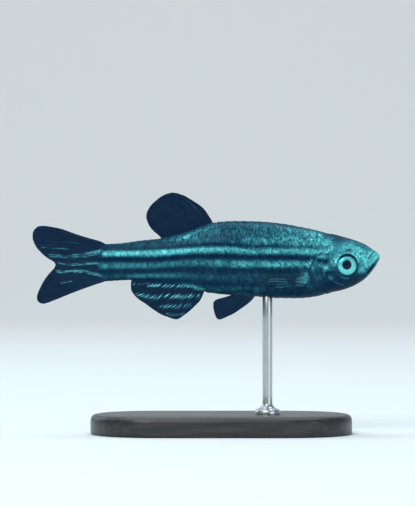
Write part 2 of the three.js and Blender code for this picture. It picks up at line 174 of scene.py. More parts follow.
def spot(a, phi, inset=0.0):
    """A place on the body: phi is 0 at the top, a quarter turn on the left flank."""
    top, bottom = TOP(a), BOTTOM(a)
    mid = bottom + (top - bottom) * WIDEST(a)
    up, out = np.cos(phi), np.sin(phi)
    n = np.where(up >= 0, FULL_UP(a), FULL_DOWN(a))
    r = (np.abs(up) ** n + np.abs(out) ** n) ** (-1 / n)
    tall = np.maximum(np.where(up >= 0, top - mid, mid - bottom) - inset, 0.02)
    wide = np.maximum(HALF_WIDTH(a) - inset, 0.02)
    return wide * out * r, mid + tall * up * r  # y, h


def grid_normals(p, closed):
    """Normals of a grid of places, [row, column, xyz], columns closed round or open."""
    if closed:
        dc = np.roll(p, -1, 1) - np.roll(p, 1, 1)
    else:
        dc = np.gradient(p, axis=1)
    dr = np.gradient(p, axis=0)
    n = np.cross(dr, dc)
    length = np.linalg.norm(n, axis=2, keepdims=True)
    return n / np.maximum(length, 1e-12)


# ------------------------------------------------------------------ meshes
def world(a, y, h):
    return np.stack([SNOUT_X - np.asarray(a), np.asarray(y), AXIS_Z + np.asarray(h)], -1)


def build(name, verts, faces, material, fields=None, uv=None, flat=False):
    """verts in mm, [n, 3]; faces a list of integer arrays [m, 3 or 4]; uv one array [corners, 2].
    A closed mesh that comes in inside out is turned."""
    mesh = bpy.data.meshes.new(name)
    verts = np.asarray(verts, float)
    volume = 0.0
    middle = verts.mean(0)
    for f in faces:
        p = verts[f] - middle
        for k in range(1, f.shape[1] - 1):
            volume += np.einsum("ij,ij->", p[:, 0], np.cross(p[:, k], p[:, k + 1]))
    if volume < 0:
        if uv is not None:
            parts, at = [], 0
            for f in faces:
                block = np.asarray(uv)[at:at + f.size].reshape(f.shape[0], f.shape[1], 2)
                parts.append(block[:, ::-1].reshape(-1, 2))
                at += f.size
            uv = np.vstack(parts)
        faces = [f[:, ::-1] for f in faces]
    corner = np.concatenate([f.ravel() for f in faces]).astype(np.int32)
    size = np.concatenate([np.full(len(f), f.shape[1]) for f in faces])
    start = np.r_[0, np.cumsum(size)[:-1]].astype(np.int32)
    mesh.vertices.add(len(verts))
    mesh.vertices.foreach_set("co", (verts * MM).astype(np.float32).ravel())
    mesh.loops.add(len(corner))
    mesh.loops.foreach_set("vertex_index", corner)
    mesh.polygons.add(len(size))
    mesh.polygons.foreach_set("loop_start", start)
    mesh.polygons.foreach_set("use_smooth", np.full(len(size), not flat))
    if uv is not None:
        layer = mesh.uv_layers.new(name="OFBake")
        layer.uv.foreach_set("vector", np.asarray(uv, np.float32).ravel())
    mesh.update(calc_edges=True)
    for key, value in (fields or {}).items():
        layer = mesh.attributes.new(key, "FLOAT", "POINT")
        layer.data.foreach_set("value", np.asarray(value, np.float32).ravel())
    mesh.validate()
    mesh.materials.append(material)
    obj = bpy.data.objects.new(name, mesh)
    bpy.context.scene.collection.objects.link(obj)
    return obj


def quads(rows, cols, closed):
    """Faces of a grid of vertices; closed joins the last column to the first."""
    i = np.arange(rows - 1)[:, None]
    j = np.arange(cols if closed else cols - 1)[None, :]
    k = (j + 1) % cols
    a, b, c, d = i * cols + j, i * cols + k, (i + 1) * cols + k, (i + 1) * cols + j
    return np.stack([a + 0 * b, b + 0 * a, c, d], -1).reshape(-1, 4)


# ------------------------------------------------------------------ markings
# Stripes run the length of the body. Each line has its height, (a, h), and its brightness, (a, value),
# where 0 is black and 1 is white; between lines the brightness passes smoothly from one to the next.
def px(points):
    return [((379.5 - x) * 0.13, (257 - y) * 0.13) for x, y in points]


STRIPES = [
    # name, height line, brightness line
    ("back", [(6, 2.6), (10, 2.75), (16, 3.0), (21, 3.0), (25, 2.35), (29, 1.9), (33, 1.62), (37, 1.55)],
     [(6, 0.46), (9, 0.50), (12, 0.42), (16, 0.31), (20, 0.27), (22, 0.36), (25, 0.38), (28, 0.29), (33, 0.25), (37, 0.2)]),
    ("shoulder", [(6, 1.95), (10, 2.05), (16, 2.1), (21, 2.15), (25, 1.85), (29, 1.62), (33, 1.45), (37, 1.4)],
     [(6, 0.49), (9, 0.54), (12, 0.49), (16, 0.40), (20, 0.30), (24, 0.31), (28, 0.26), (33, 0.24), (37, 0.2)]),
    ("over_dark", [(7, 1.6), (9.8, 1.66), (12.9, 1.78), (16.6, 1.74), (19.2, 1.94), (21.8, 2.04), (24.4, 1.8), (26.5, 1.64), (29.6, 1.52), (37, 1.35)],
     [(7, 0.55), (10, 0.54), (12, 0.47), (14, 0.40), (17, 0.33), (20, 0.28), (24, 0.27), (28, 0.25), (33, 0.23), (37, 0.2)]),
    ("upper_dark", [(7, 1.22), (8.8, 1.24), (9.8, 1.31), (12.9, 1.46), (16.6, 1.43), (19.2, 1.6), (21.8, 1.72), (24.4, 1.58), (26.5, 1.4), (29.6, 1.24), (33.2, 1.12), (37, 1.08)],
     [(7, 0.45), (8.5, 0.42), (10.3, 0.38), (11.6, 0.31), (14, 0.25), (17, 0.22), (20, 0.17), (24, 0.18), (28, 0.21), (34, 0.22), (37, 0.2)]),
    ("upper_light", [(7, 0.72), (9, 0.8), (14, 0.8), (17, 0.74), (19.3, 0.98), (22.5, 0.92), (25.4, 0.78), (28.5, 0.55), (33, 0.5), (37, 0.5)],
     [(7, 0.62), (10, 0.64), (14, 0.62), (17, 0.58), (20, 0.60), (24, 0.66), (28, 0.71), (33, 0.74), (37, 0.70)]),
    ("main_dark", [(6.8, -0.36), (8.8, -0.22), (10.9, -0.1), (13.0, -0.04), (17, 0.0), (20.5, 0.12), (24.0, 0.1), (26.8, -0.1), (29, -0.28), (33, -0.3), (37, -0.3)],
     [(7, 0.24), (8.4, 0.22), (9.6, 0.17), (14, 0.15), (20, 0.145), (26, 0.14), (37, 0.145)]),
    ("middle_light", [(7, -1.0), (9.6, -0.9), (14, -0.9), (19, -0.86), (21.5, -0.76), (24.5, -0.68), (27, -0.88), (30, -1.1), (33, -1.17), (37, -1.17)],
     [(7, 0.35), (9.4, 0.49), (10.8, 0.53), (12.6, 0.60), (16, 0.57), (20, 0.47), (25, 0.42), (30, 0.45), (35, 0.45), (37, 0.4)]),
    ("lower_dark", [(7, -1.7), (9.6, -1.69), (13.5, -1.69), (18, -1.8), (22, -1.74), (26, -1.7), (30, -1.82), (37, -1.9)],
     [(7, 0.24), (9, 0.20), (14, 0.19), (20, 0.18), (30, 0.175), (37, 0.18)]),
    ("lower_light", [(7, -2.5), (10, -2.55), (16, -2.55), (22, -2.5), (26.2, -2.36), (30, -2.45), (34, -2.5), (37, -2.5)],
     [(7, 0.28), (10, 0.30), (14, 0.28), (19, 0.25), (23, 0.28), (26.5, 0.37), (31, 0.42), (33.5, 0.30), (37, 0.24)]),
    # the belly's bands stay dark: painted shade of the underside, where a live danio's belly is pale silver
    ("belly_dark", [(7, -3.6), (12, -3.65), (18, -3.6), (22, -3.5), (25.5, -3.15), (29, -3.0), (34, -3.0), (37, -3.0)],
     [(7, 0.20), (12, 0.21), (18, 0.20), (23, 0.20), (30, 0.19), (37, 0.2)]),
    ("belly_pale", [(7, -4.2), (12, -4.3), (19, -4.05), (22.5, -4.1), (26, -3.6), (30, -3.3), (37, -3.4)],
     [(7, 0.21), (14, 0.22), (17, 0.24), (19, 0.29), (21.5, 0.31), (24, 0.31), (30, 0.23), (37, 0.2)]),
    ("belly", [(7, -5.0), (12, -5.1), (18, -4.75), (23, -4.5), (27, -4.0), (37, -3.8)],
     [(7, 0.20), (14, 0.20), (22, 0.22), (37, 0.20)]),
]
# Patches of the head: a, h, half length, half height, turn in degrees, how much brighter or darker, softness
HEAD_PATCHES = [
    (3.0, 0.60, 1.25, 1.0, 14, 0.31, 1.3),       # between nostril and eye, pale
    (2.2, -0.35, 0.75, 0.7, -40, 0.10, 1.0),     # side of the snout
    (0.45, 0.2, 0.52, 0.5, 0, 0.38, 1.0),        # tip of the snout
    (1.35, 0.42, 0.42, 0.5, -30, 0.10, 1.0),
    (1.85, -1.15, 1.25, 0.46, -47, 0.27, 1.2),   # band along the upper lip, down to the mouth's corner
    (2.45, -1.75, 0.5, 0.5, 0, 0.16, 1.0),
    (5.45, -0.3, 0.7, 0.75, 0, 0.17, 1.0),       # behind the eye, over its middle
    (6.1, -0.75, 0.35, 0.45, 0, 0.16, 1.0),
    (6.5, 0.42, 0.42, 0.45, 0, -0.14, 1.0),
    (6.75, -0.5, 0.3, 0.5, 0, -0.14, 1.0),       # dimmer skin farther behind the eye
    (7.3, 1.45, 1.3, 1.25, 0, 0.29, 1.3),        # pale shoulder over the gill cover
    (6.75, 0.6, 0.7, 0.5, 0, 0.10, 1.0),
    (4.35, 1.35, 0.8, 0.42, -12, 0.17, 1.2),     # pale mottled brow
    (6.90, -1.34, 0.46, 0.40, 0, 0.46, 1.0),     # pale spot on the cheek's rear
    (6.62, -1.48, 0.14, 0.15, 0, -0.16, 1.0),
    (6.45, -2.70, 0.24, 0.26, 30, 0.14, 1.0),    # pale fleck at the cheek's rim
    (7.15, -1.7, 0.16, 0.2, 40, 0.16, 1.0),
    (5.75, 1.95, 0.8, 0.35, -14, -0.10, 1.3),    # dark crown behind the eye
    (6.7, -2.1, 0.42, 0.3, 0, -0.08, 1.0),       # dark blotch under the pale spot
    (6.45, -1.62, 0.38, 0.28, 0, 0.10, 1.0),
    (8.3, -1.3, 0.9, 0.5, 0, 0.13, 1.2),         # gill cover, a paler field with dark ones round it
    (8.65, -1.55, 0.4, 0.35, 0, 0.08, 1.0),
    (7.75, -2.5, 0.6, 0.7, 0, 0.06, 1.0),
    (9.15, -3.72, 0.85, 0.32, 6, 0.10, 1.0),     # under the pectoral fin's root
    (9.75, -2.65, 0.62, 0.62, 25, 0.26, 1.0),     # root of the pectoral fin
    (10.7, -2.65, 0.7, 0.32, 20, 0.10, 1.0),
    (6.6, -3.6, 1.2, 0.5, 15, -0.03, 1.0),
    (7.76, 0.03, 0.55, 0.17, 5, 0.12, 1.0),      # pale flecks over the gill opening's upper end
    (2.05, -1.6, 0.45, 0.8, -20, -0.05, 1.0),    # painted shade in the hollow before the eye
    (5.50, -0.80, 0.34, 0.62, 0, 0.28, 1.2),     # pale skin close behind the eye
    (6.05, -0.85, 0.25, 0.45, 0, 0.08, 1.0),
    (1.85, -1.95, 0.40, 0.45, -45, 0.16, 1.0),   # lower end of the lip's band
    (8.4, -3.1, 1.3, 0.9, 0, 0.035, 1.4),        # lower gill cover
    (6.3, -2.3, 0.7, 0.6, 0, 0.045, 1.2),        # cheek
    (3.3, 0.35, 0.35, 0.45, 30, -0.10, 1.0),     # dimmer skin over the eye's front
    (3.95, 0.74, 0.42, 0.30, 0, -0.10, 1.0),     # and over its middle, paler behind that
    (4.97, 0.64, 0.36, 0.32, 0, 0.09, 1.0),
]
ROOT_PATCHES = HEAD_PATCHES[23:26]
# Strokes of the head: the line in the picture's pixels, half its width in mm, how much brighter or darker
HEAD_STROKES = [
    ([(319, 233.0), (326, 235.0), (334, 237.4), (342, 239.8), (352, 243.0)], 0.25, -0.22),      # dark nape
    ([(312.4, 259.3), (309.8, 263.4), (307.2, 268.0)], 0.17, 0.34),                             # pale wedge over the gill opening
    ([(371.6, 250.6), (367.0, 257.6), (364.4, 263.0)], 0.11, 0.15),                             # pale lines beside the lip's fold
    ([(374.8, 252.6), (371.2, 258.2), (368.0, 263.0)], 0.17, 0.14),
    ([(377.0, 257.0), (372.0, 262.0), (365.0, 268.0)], 0.22, 0.16),                             # upper lip
    ([(374.6, 263.4), (370.8, 268.2), (366.8, 273.4)], 0.19, -0.09),                            # shadow of the mouth
    ([(330.2, 274.6), (332.0, 278.8), (336.2, 282.5), (344.5, 285.1)], 0.10, 0.15),             # rim of the cheek
    ([(332.8, 274.6), (335.4, 278.4), (339.0, 281.2)], 0.07, 0.07),
    ([(345.5, 250.4), (349.5, 249.5), (353.5, 250.9)], 0.10, -0.26),                            # painted shade in the crease over the eye
    ([(304.0, 257.2), (309.0, 257.6), (314.6, 259.4)], 0.24, -0.10),                            # main dark stripe running on towards the eye
    ([(316.8, 259.4), (321.5, 260.8), (327.0, 262.2)], 0.24, -0.20),
    ([(314.0, 262.5), (320.0, 264.5), (324.5, 270.5), (325.0, 277.0)], 0.13, 0.06),             # faint rays of the gill cover
    ([(316.5, 267.5), (319.5, 273.5), (320.5, 280.5)], 0.12, 0.06),
    ([(312.5, 266.5), (314.2, 274.0), (316.5, 281.0)], 0.14, 0.08),
    ([(318.6, 266.2), (321.6, 262.4), (323.4, 261.0)], 0.07, 0.20),
    ([(340.4, 276.4), (344.5, 278.3), (350.0, 278.3)], 0.09, 0.20),                             # under the eye
    ([(308.6, 275.4), (306.0, 279.4), (305.6, 284.0)], 0.10, 0.18),                             # bright ridges at the pectoral fin's root
    ([(307.6, 272.0), (303.6, 276.6), (298.0, 279.3)], 0.11, 0.12),
    ([(306.8, 282.6), (301.0, 281.2), (294.0, 280.0)], 0.08, 0.14),
    ([(308.0, 285.4), (301.0, 284.4), (295.0, 283.8)], 0.07, 0.10),
    ([(377.4, 262.0), (374.4, 266.9), (370.6, 271.5), (366.4, 275.9)], 0.10, 0.14),             # edge of the lower lip
    ([(350.0, 242.2), (359.0, 245.6), (370.5, 250.8)], 0.17, -0.17),                            # dark crown, fainter towards the snout
    ([(308.6, 268.8), (309.8, 272.0), (309.6, 275.0)], 0.10, 0.14),
    ([(299.0, 246.0), (308.0, 246.6), (314.0, 247.8), (319.8, 249.0)], 0.12, -0.15),            # dark line over the shoulder
    ([(303.0, 253.2), (312.0, 253.2), (320.0, 251.4), (331.0, 249.2)], 0.24, 0.08),             # pale band under it
    ([(317.0, 254.2), (324.0, 253.8), (331.0, 254.6)], 0.16, -0.15),
    ([(322.8, 271.0), (324.2, 274.6), (325.4, 277.6)], 0.06, 0.17),                             # pale flecks down the cheek's rear
    ([(327.4, 274.0), (329.4, 277.4), (331.8, 280.4)], 0.06, 0.13),
    ([(318.4, 275.5), (317.6, 278.6), (315.6, 281.0)], 0.10, 0.06),
]
CROWN_STROKES = (0, 21)          # these lie on top of the head and join over it
ROOT_STROKES = (0, 1, 16, 17, 18, 19, 23, 24)      # these run on behind the gill cover's edge


def stripes_at(a, h):
    """Brightness of the body's markings at a place, from 0 to 1."""
    a = np.asarray(a, float)
    h = np.asarray(h, float)
    heights = [pchip(a, [p[0] for p in s[1]], [p[1] for p in s[1]]) for s in STRIPES]
    values = [pchip(a, [p[0] for p in s[2]], [p[1] for p in s[2]]) for s in STRIPES]
    out = np.where(h >= heights[0], values[0], values[-1])
    for k in range(len(STRIPES) - 1):
        hi, lo = heights[k], heights[k + 1]
        t = smooth(0.14, 0.86, (hi - h) / np.maximum(hi - lo, 1e-6))
        inside = (h < hi) & (h >= lo)
        out = np.where(inside, values[k] + (values[k + 1] - values[k]) * t, out)
    return out


def from_turn(ang, turn):
    """How far an angle lies from another, the short way round."""
    return (ang - turn + PI) % (2 * PI) - PI


def orbit_edge(ang):
    """Outer radius of the dark ring round the eye: widest over it, thin in front, below and behind."""
    return 1.385 + 0.13 * bump(from_turn(ang, 1.45), 0.95)


def orbit_dark(ang):
    """How dark the eye's surround is, 0 to 1: only over the eye and in front of it. This dark is partly the eye's own
    dark rim and partly painted shade under the brow.
    """
    return smooth(1.6, 0.95, np.abs(from_turn(ang, 0.95)))


def rim_tone(ang):
    """Brightness of the eye's surround: dark over it and in front, partly the eye's own dark rim and partly painted
    shade under the brow, pale behind its middle, dim below.
    """
    dark = orbit_dark(ang)
    return (0.31 + 0.32 * bump(from_turn(ang, 2.8), 0.62)) * (1 - dark) + (0.245 + 0.13 * bump(from_turn(ang, 0.05), 0.6)) * dark


def strokes_at(a, h, keys):
    """What the head's strokes of these numbers add to the brightness."""
    out = np.zeros(np.shape(a))
    for k in keys:
        points, width, gain = HEAD_STROKES[k]
        d, t = beside(a, h, px(points), 14)
        rear, front = 0.12, 0.85
        if k in CROWN_STROKES:
            d = np.where(d > 0, d, 0.3 * d) + 0.14 * (speck(a * 2.3, h * 2.3, 8.0) - 0.5)
            rear, front = 0.30, 0.55
        out = out + gain * bump(d, width) * smooth(-0.02, rear, t) * smooth(1.02, front, t)
    return out


def head_tone(a, h):
    """The head's brightness: pale over the eye's level, dark slate below, the darkness below being painted shade of the
    head's underside.
    """
    eye_a = a
    a = a - 0.1 * smooth(0.4, 2.5, a)
    # painted shade: the head's tone darkens downwards from the eye's level to its underside
    level = smooth(-2.3, 0.1, h - 0.10 * (a - 4))
    base = 0.165 + 0.245 * level
    for pa, ph, ra, rh, turn, gain, soft in HEAD_PATCHES:
        c, s = math.cos(math.radians(turn)), math.sin(math.radians(turn))
        da, dh = a - pa, h - ph
        # a grows towards the tail, so a positive turn lifts the patch's rear end
        u, v = (da * c + dh * s) / ra, (-da * s + dh * c) / rh
        base = base + gain * np.exp(-((u * u + v * v) ** soft))
    base = base + strokes_at(a, h, range(len(HEAD_STROKES)))
    # dark ring round the eye, partly the eye's own dark rim and partly painted shade under the brow, and a pale arc
    # over it
    rho = np.hypot(eye_a - EYE_A, h - EYE_H)
    ang = np.arctan2(h - EYE_H, EYE_A - eye_a)
    edge = orbit_edge(ang)
    base = base + 0.15 * bump(rho - edge - 0.13, 0.08) * smooth(0.1, 0.7, np.sin(ang))
    base = base + 0.085 * bump(rho - 1.6, 0.22) * bump(from_turn(ang, -2.25), 0.85)
    ring = np.maximum(smooth(edge + 0.05, edge - 0.04, rho) * orbit_dark(ang), smooth(1.46, 1.39, rho))
    base = base * (1 - ring) + rim_tone(ang) * ring
    mottle = speck(a * 4.1 + 3, h * 4.1, 1.0) * 0.6 + speck(a * 8.3, h * 8.3, 2.0) * 0.4
    return base * (1 + 0.34 * (mottle - 0.5) * smooth(0.16, 0.4, base))


def tone_at(a, h):
    """Brightness of skin and scales: the head's before the gill cover's edge, the stripes behind it."""
    d, _ = beside(a, h, GILL_EDGE)
    behind = smooth(-0.12, 0.2, d)          # to the left of the edge line as drawn is behind it
    over = smooth(6.4, 8.4, a) * smooth(0.3, 1.0, h)
    behind = np.maximum(behind * smooth(6.0, 7.0, a), over)
    near = a < 12.5
    t = np.array(stripes_at(a, h))
    if np.any(near):
        head = head_tone(np.where(near, a, 12.5), h)
        t = np.where(near, head * (1 - behind) + t * behind, t)
        # the pale wedge and the pectoral fin's root lie across the edge
        add = np.zeros(np.shape(a))
        for pa, ph, ra, rh, turn, gain, soft in ROOT_PATCHES:
            c, s = math.cos(math.radians(turn)), math.sin(math.radians(turn))
            u, v = ((a - pa) * c + (h - ph) * s) / ra, (-(a - pa) * s + (h - ph) * c) / rh
            add = add + gain * np.exp(-((u * u + v * v) ** soft))
        add = add + strokes_at(a - 0.1, h, ROOT_STROKES)
        t = t + np.where(near, add * behind, 0)
    # a darker band along the middle of the back, and pale patches at the pelvic fins' roots
    dim = t * (1 - 0.34 * smooth(0.42, 0.03, TOP(a) - h) * smooth(1.2, 3.5, a))
    t = np.where(t > 0.26, np.maximum(dim, 0.26), t)
    t = t + 0.17 * bump(np.hypot((a - 16.0) / 0.45, (h + 4.35) / 0.5), 1.0) + 0.05 * bump((a - 18.2) / 0.9, 1.0) * bump(h + 4.1, 0.12)
    # a paler rim of the back under the dorsal fin
    t = t + 0.13 * bump((a - 25.4) / 1.7, 1.0) * bump((TOP(a) - h - 0.4) / 0.42, 1.0)
    # the anal fin's first pale band begins on the body, over the fin's root
    d, run = beside(a, h, px([(206.0, 290.6), (199.0, 288.5), (191.0, 286.5), (181.0, 285.4)]))
    t = t + 0.38 * bump(d, 0.19) * smooth(-0.02, 0.10, run) * smooth(1.02, 0.88, run) * (0.5 + speck(a * 3.0, h * 1.5, 12.0))
    # the body's upper pale band stops short where the tail fin's rays begin
    t = t * (1 - (0.12 + 0.43 * smooth(-0.6, -0.1, h)) * smooth(35.85, 36.15, a - 0.10 * speck(h * 5.0, 0 * a, 6.0)) * smooth(0.3, 0.5, t))
    return np.clip(t, 0.03, 0.95)


def calm_at(a, h):
    """How even the markings are: more so on the head's fore part and in the bands towards the tail."""
    calm = np.maximum(0.75 * smooth(6.5, 4.5, a), 0.7 * smooth(22.0, 28.0, a) * smooth(1.9, 1.4, h))
    return np.maximum(calm, 0.7 * smooth(0.6, 0.1, TOP(a) - h))


def streak_at(a, h):
    """How much the markings break into upright streaks: most on the back, behind the nape."""
    return smooth(6.0, 8.5, a) * smooth(0.95, 1.75, h) * smooth(37.0, 30.0, a)


# ------------------------------------------------------------------ the skin
def end_of_body(h):
    return BODY_END - END_BOW * ((h + 0.72) / 2.9) ** 2


def surface(a, phi):
    """The body's surface with its rear end thinned into the tail fin: places [.., 3] in mm."""
    y, h = spot(a, phi)
    y = y * (0.2 + 0.8 * smooth(0.0, 1.6, end_of_body(h) - a))
    return world(a, y, h)


def surface_and_normal(a, phi):
    e = 2e-3
    p = surface(a, phi)
    da = surface(a + e, phi) - surface(np.maximum(a - e, 1e-4), phi)
    dp = surface(a, phi + e) - surface(a, phi - e)
    n = np.cross(dp, da)
    return p, n / np.maximum(np.linalg.norm(n, axis=-1, keepdims=True), 1e-12)


def scaled(a, h):
    """1 where scales cover the skin, 0 on the head."""
    d, _ = beside(a, h, GILL_EDGE)
    side = smooth(0.0, 0.05, d) * smooth(6.0, 6.6, a)
    nape = smooth(5.7, 7.6, a) * smooth(0.45, 1.2, h)
    throat = smooth(6.1, 7.4, a) * smooth(-4.4, -4.9, h)
    return np.maximum(np.maximum(side, nape), throat)


def eye_front(a, h, most=0.9999):
    """How far out the eyeball's surface lies at a place."""
    r = np.clip(np.hypot(a - EYE_A, h - EYE_H) / EYE_R, 0, most)
    return EYE_Y + EYE_DEEP * (1 - r ** EYE_FULL) ** (1 / EYE_FULL) + EYE_LEAN * np.clip(a - EYE_A, -EYE_R, EYE_R)


def relief(a, h, y):
    """Folds, lips, nostrils and the edges of the gill covers, as a shift along the normal, in mm."""
    out = np.abs(y)
    flank = smooth(0.15, 0.7, out)
    d = -COAT * scaled(a, h)

    # the mouth's cleft, with a lip on each side of it
    m, t = beside(a, h, MOUTH)
    live = smooth(1.0, 0.9, t) * smooth(2.6, 2.2, a)
    d = d - 0.13 * bump(m, 0.06) * live
    d = d + 0.05 * bump(m - 0.19, 0.12) * live + 0.04 * bump(m + 0.16, 0.11) * live
    d = d - 0.02 * bump(m + 0.42, 0.14) * live * smooth(0.2, 0.5, t)
    corner = np.hypot(a - 2.0, h + 2.32)
    d = d - 0.07 * bump(corner, 0.13) * flank
    # the fold between snout and upper lip
    f, t = beside(a, h, LIP_FOLD)
    ends = smooth(0.0, 0.2, t) * smooth(1.0, 0.75, t)
    d = d - 0.1 * bump(f, 0.06) * ends + 0.04 * bump(f + 0.17, 0.1) * ends + 0.03 * bump(f - 0.15, 0.1) * ends
    # the jaw's edge, running back under the cheek
    f, t = beside(a, h, JAW_EDGE)
    d = d - 0.07 * bump(f, 0.07) * smooth(1.0, 0.7, t) + 0.03 * bump(f - 0.18, 0.13) * smooth(1.0, 0.6, t)
    for k in range(2):
        f, t = beside(a, h, [(4.3, -3.62 - 0.33 * k), (5.4, -4.0 - 0.27 * k), (6.6, -4.35 - 0.22 * k)])
        d = d - 0.035 * bump(f, 0.06) * smooth(0.0, 0.3, t) * smooth(1.0, 0.7, t)

    # nostrils: a round one before, a longer one behind, and the flap between them
    for na, nh, ra, rh, deep in ((2.2, 0.5, 0.1, 0.12, 0.10), (2.53, 0.48, 0.14, 0.17, 0.11)):
        q = np.hypot((a - na) / ra, (h - nh) / rh)
        d = d - deep * np.exp(-(q ** 3)) * flank + 0.03 * bump(q - 1.45, 0.4) * flank
    d = d + 0.05 * bump(a - 2.35, 0.05) * bump(h - 0.5, 0.16) * flank

    # the cheek's rim, the gill cover's plates and its free edge
    f, t = beside(a, h, CHEEK_EDGE)
    ends = smooth(0.0, 0.12, t) * smooth(1.0, 0.85, t)
    d = d + (0.05 * bump(f + 0.05, 0.1) - 0.05 * bump(f - 0.1, 0.07)) * ends
    f, t = beside(a, h, [(6.95, -3.55), (7.9, -3.42), (8.6, -3.42)])
    d = d - 0.035 * bump(f, 0.06) * smooth(0.0, 0.2, t) * smooth(1.0, 0.8, t)
    f, t = beside(a, h, [(7.0, 0.1), (7.35, -0.5), (7.45, -1.4), (7.3, -2.4)])
    d = d - 0.02 * bump(f, 0.08) * smooth(0.0, 0.3, t) * smooth(1.0, 0.7, t)
    f, t = beside(a, h, GILL_EDGE)
    ends = smooth(0.0, 0.1, t) * smooth(1.0, 0.93, t) * smooth(6.0, 6.6, a)
    d = d + np.where(f < 0, 0.10 * bump(f, 0.5), 0.10 * smooth(0.06, 0.0, f)) * ends
    d = d - 0.06 * bump(f - 0.14, 0.1) * ends
    # low ridges round the eye's underside and over the brow
    rho = np.hypot(a - EYE_A, h - EYE_H)
    under = smooth(-0.3, -1.0, h - EYE_H)
    d = d - 0.035 * bump(rho - 1.9, 0.08) * under * flank
    d = d - 0.03 * bump(rho - 1.72, 0.07) * smooth(0.6, 1.2, h - EYE_H) * flank
    # the rise round the pectoral fin's root, the sheaths of dorsal and anal fin, the vent
    d = d + 0.16 * bump(np.hypot((a - 9.35) / 0.45, (h + 3.0) / 0.62), 1.0) * smooth(9.1, 9.35, a) * flank
    top, bottom = TOP(a), BOTTOM(a)
    d = d + 0.14 * bump(out, 0.22) * smooth(21.2, 21.9, a) * smooth(28.9, 28.2, a) * smooth(1.0, 0.3, top - h)
    d = d + 0.14 * bump(out, 0.22) * smooth(22.7, 23.4, a) * smooth(32.9, 32.1, a) * smooth(1.0, 0.3, h - bottom)
    d = d + 0.16 * bump(np.hypot((a - 22.35) / 0.3, out / 0.3), 1.0) * smooth(1.0, 0.3, h - bottom)
    return d


def ring_stations():
    """Where the rings lie: close on the head, wider along the trunk, close again at the rear."""
    a, out = 0.012, [0.012]
    while a < 33.0:
        step = 0.018 + 0.014 * float(smooth(0.1, 0.7, a)) + 0.016 * float(smooth(2.6, 3.4, a))
        step += 0.31 * float(smooth(9.2, 12.5, a))
        a += step
        out.append(a)
    return np.array(out)


SEGMENTS = 264


def gill_edge_at(phi):
    """Where, along the body, the gill cover's rear edge crosses each line that runs from head to tail."""
    edge = line(GILL_EDGE, 80)
    turn = np.linspace(0, PI, 721)
    _, h = spot(edge[:, :1], turn[None, :])
    at = turn[np.abs(h - edge[:, 1:]).argmin(1)]
    order = np.argsort(at)
    xs = np.r_[0.0, at[order], PI]
    vs = np.r_[6.3, edge[order, 0], 6.1]
    half = np.where(phi > PI, 2 * PI - phi, phi)
    kernel = np.interp(half[:, None] + np.linspace(-0.06, 0.06, 7)[None, :], xs, vs)
    return kernel.mean(1)


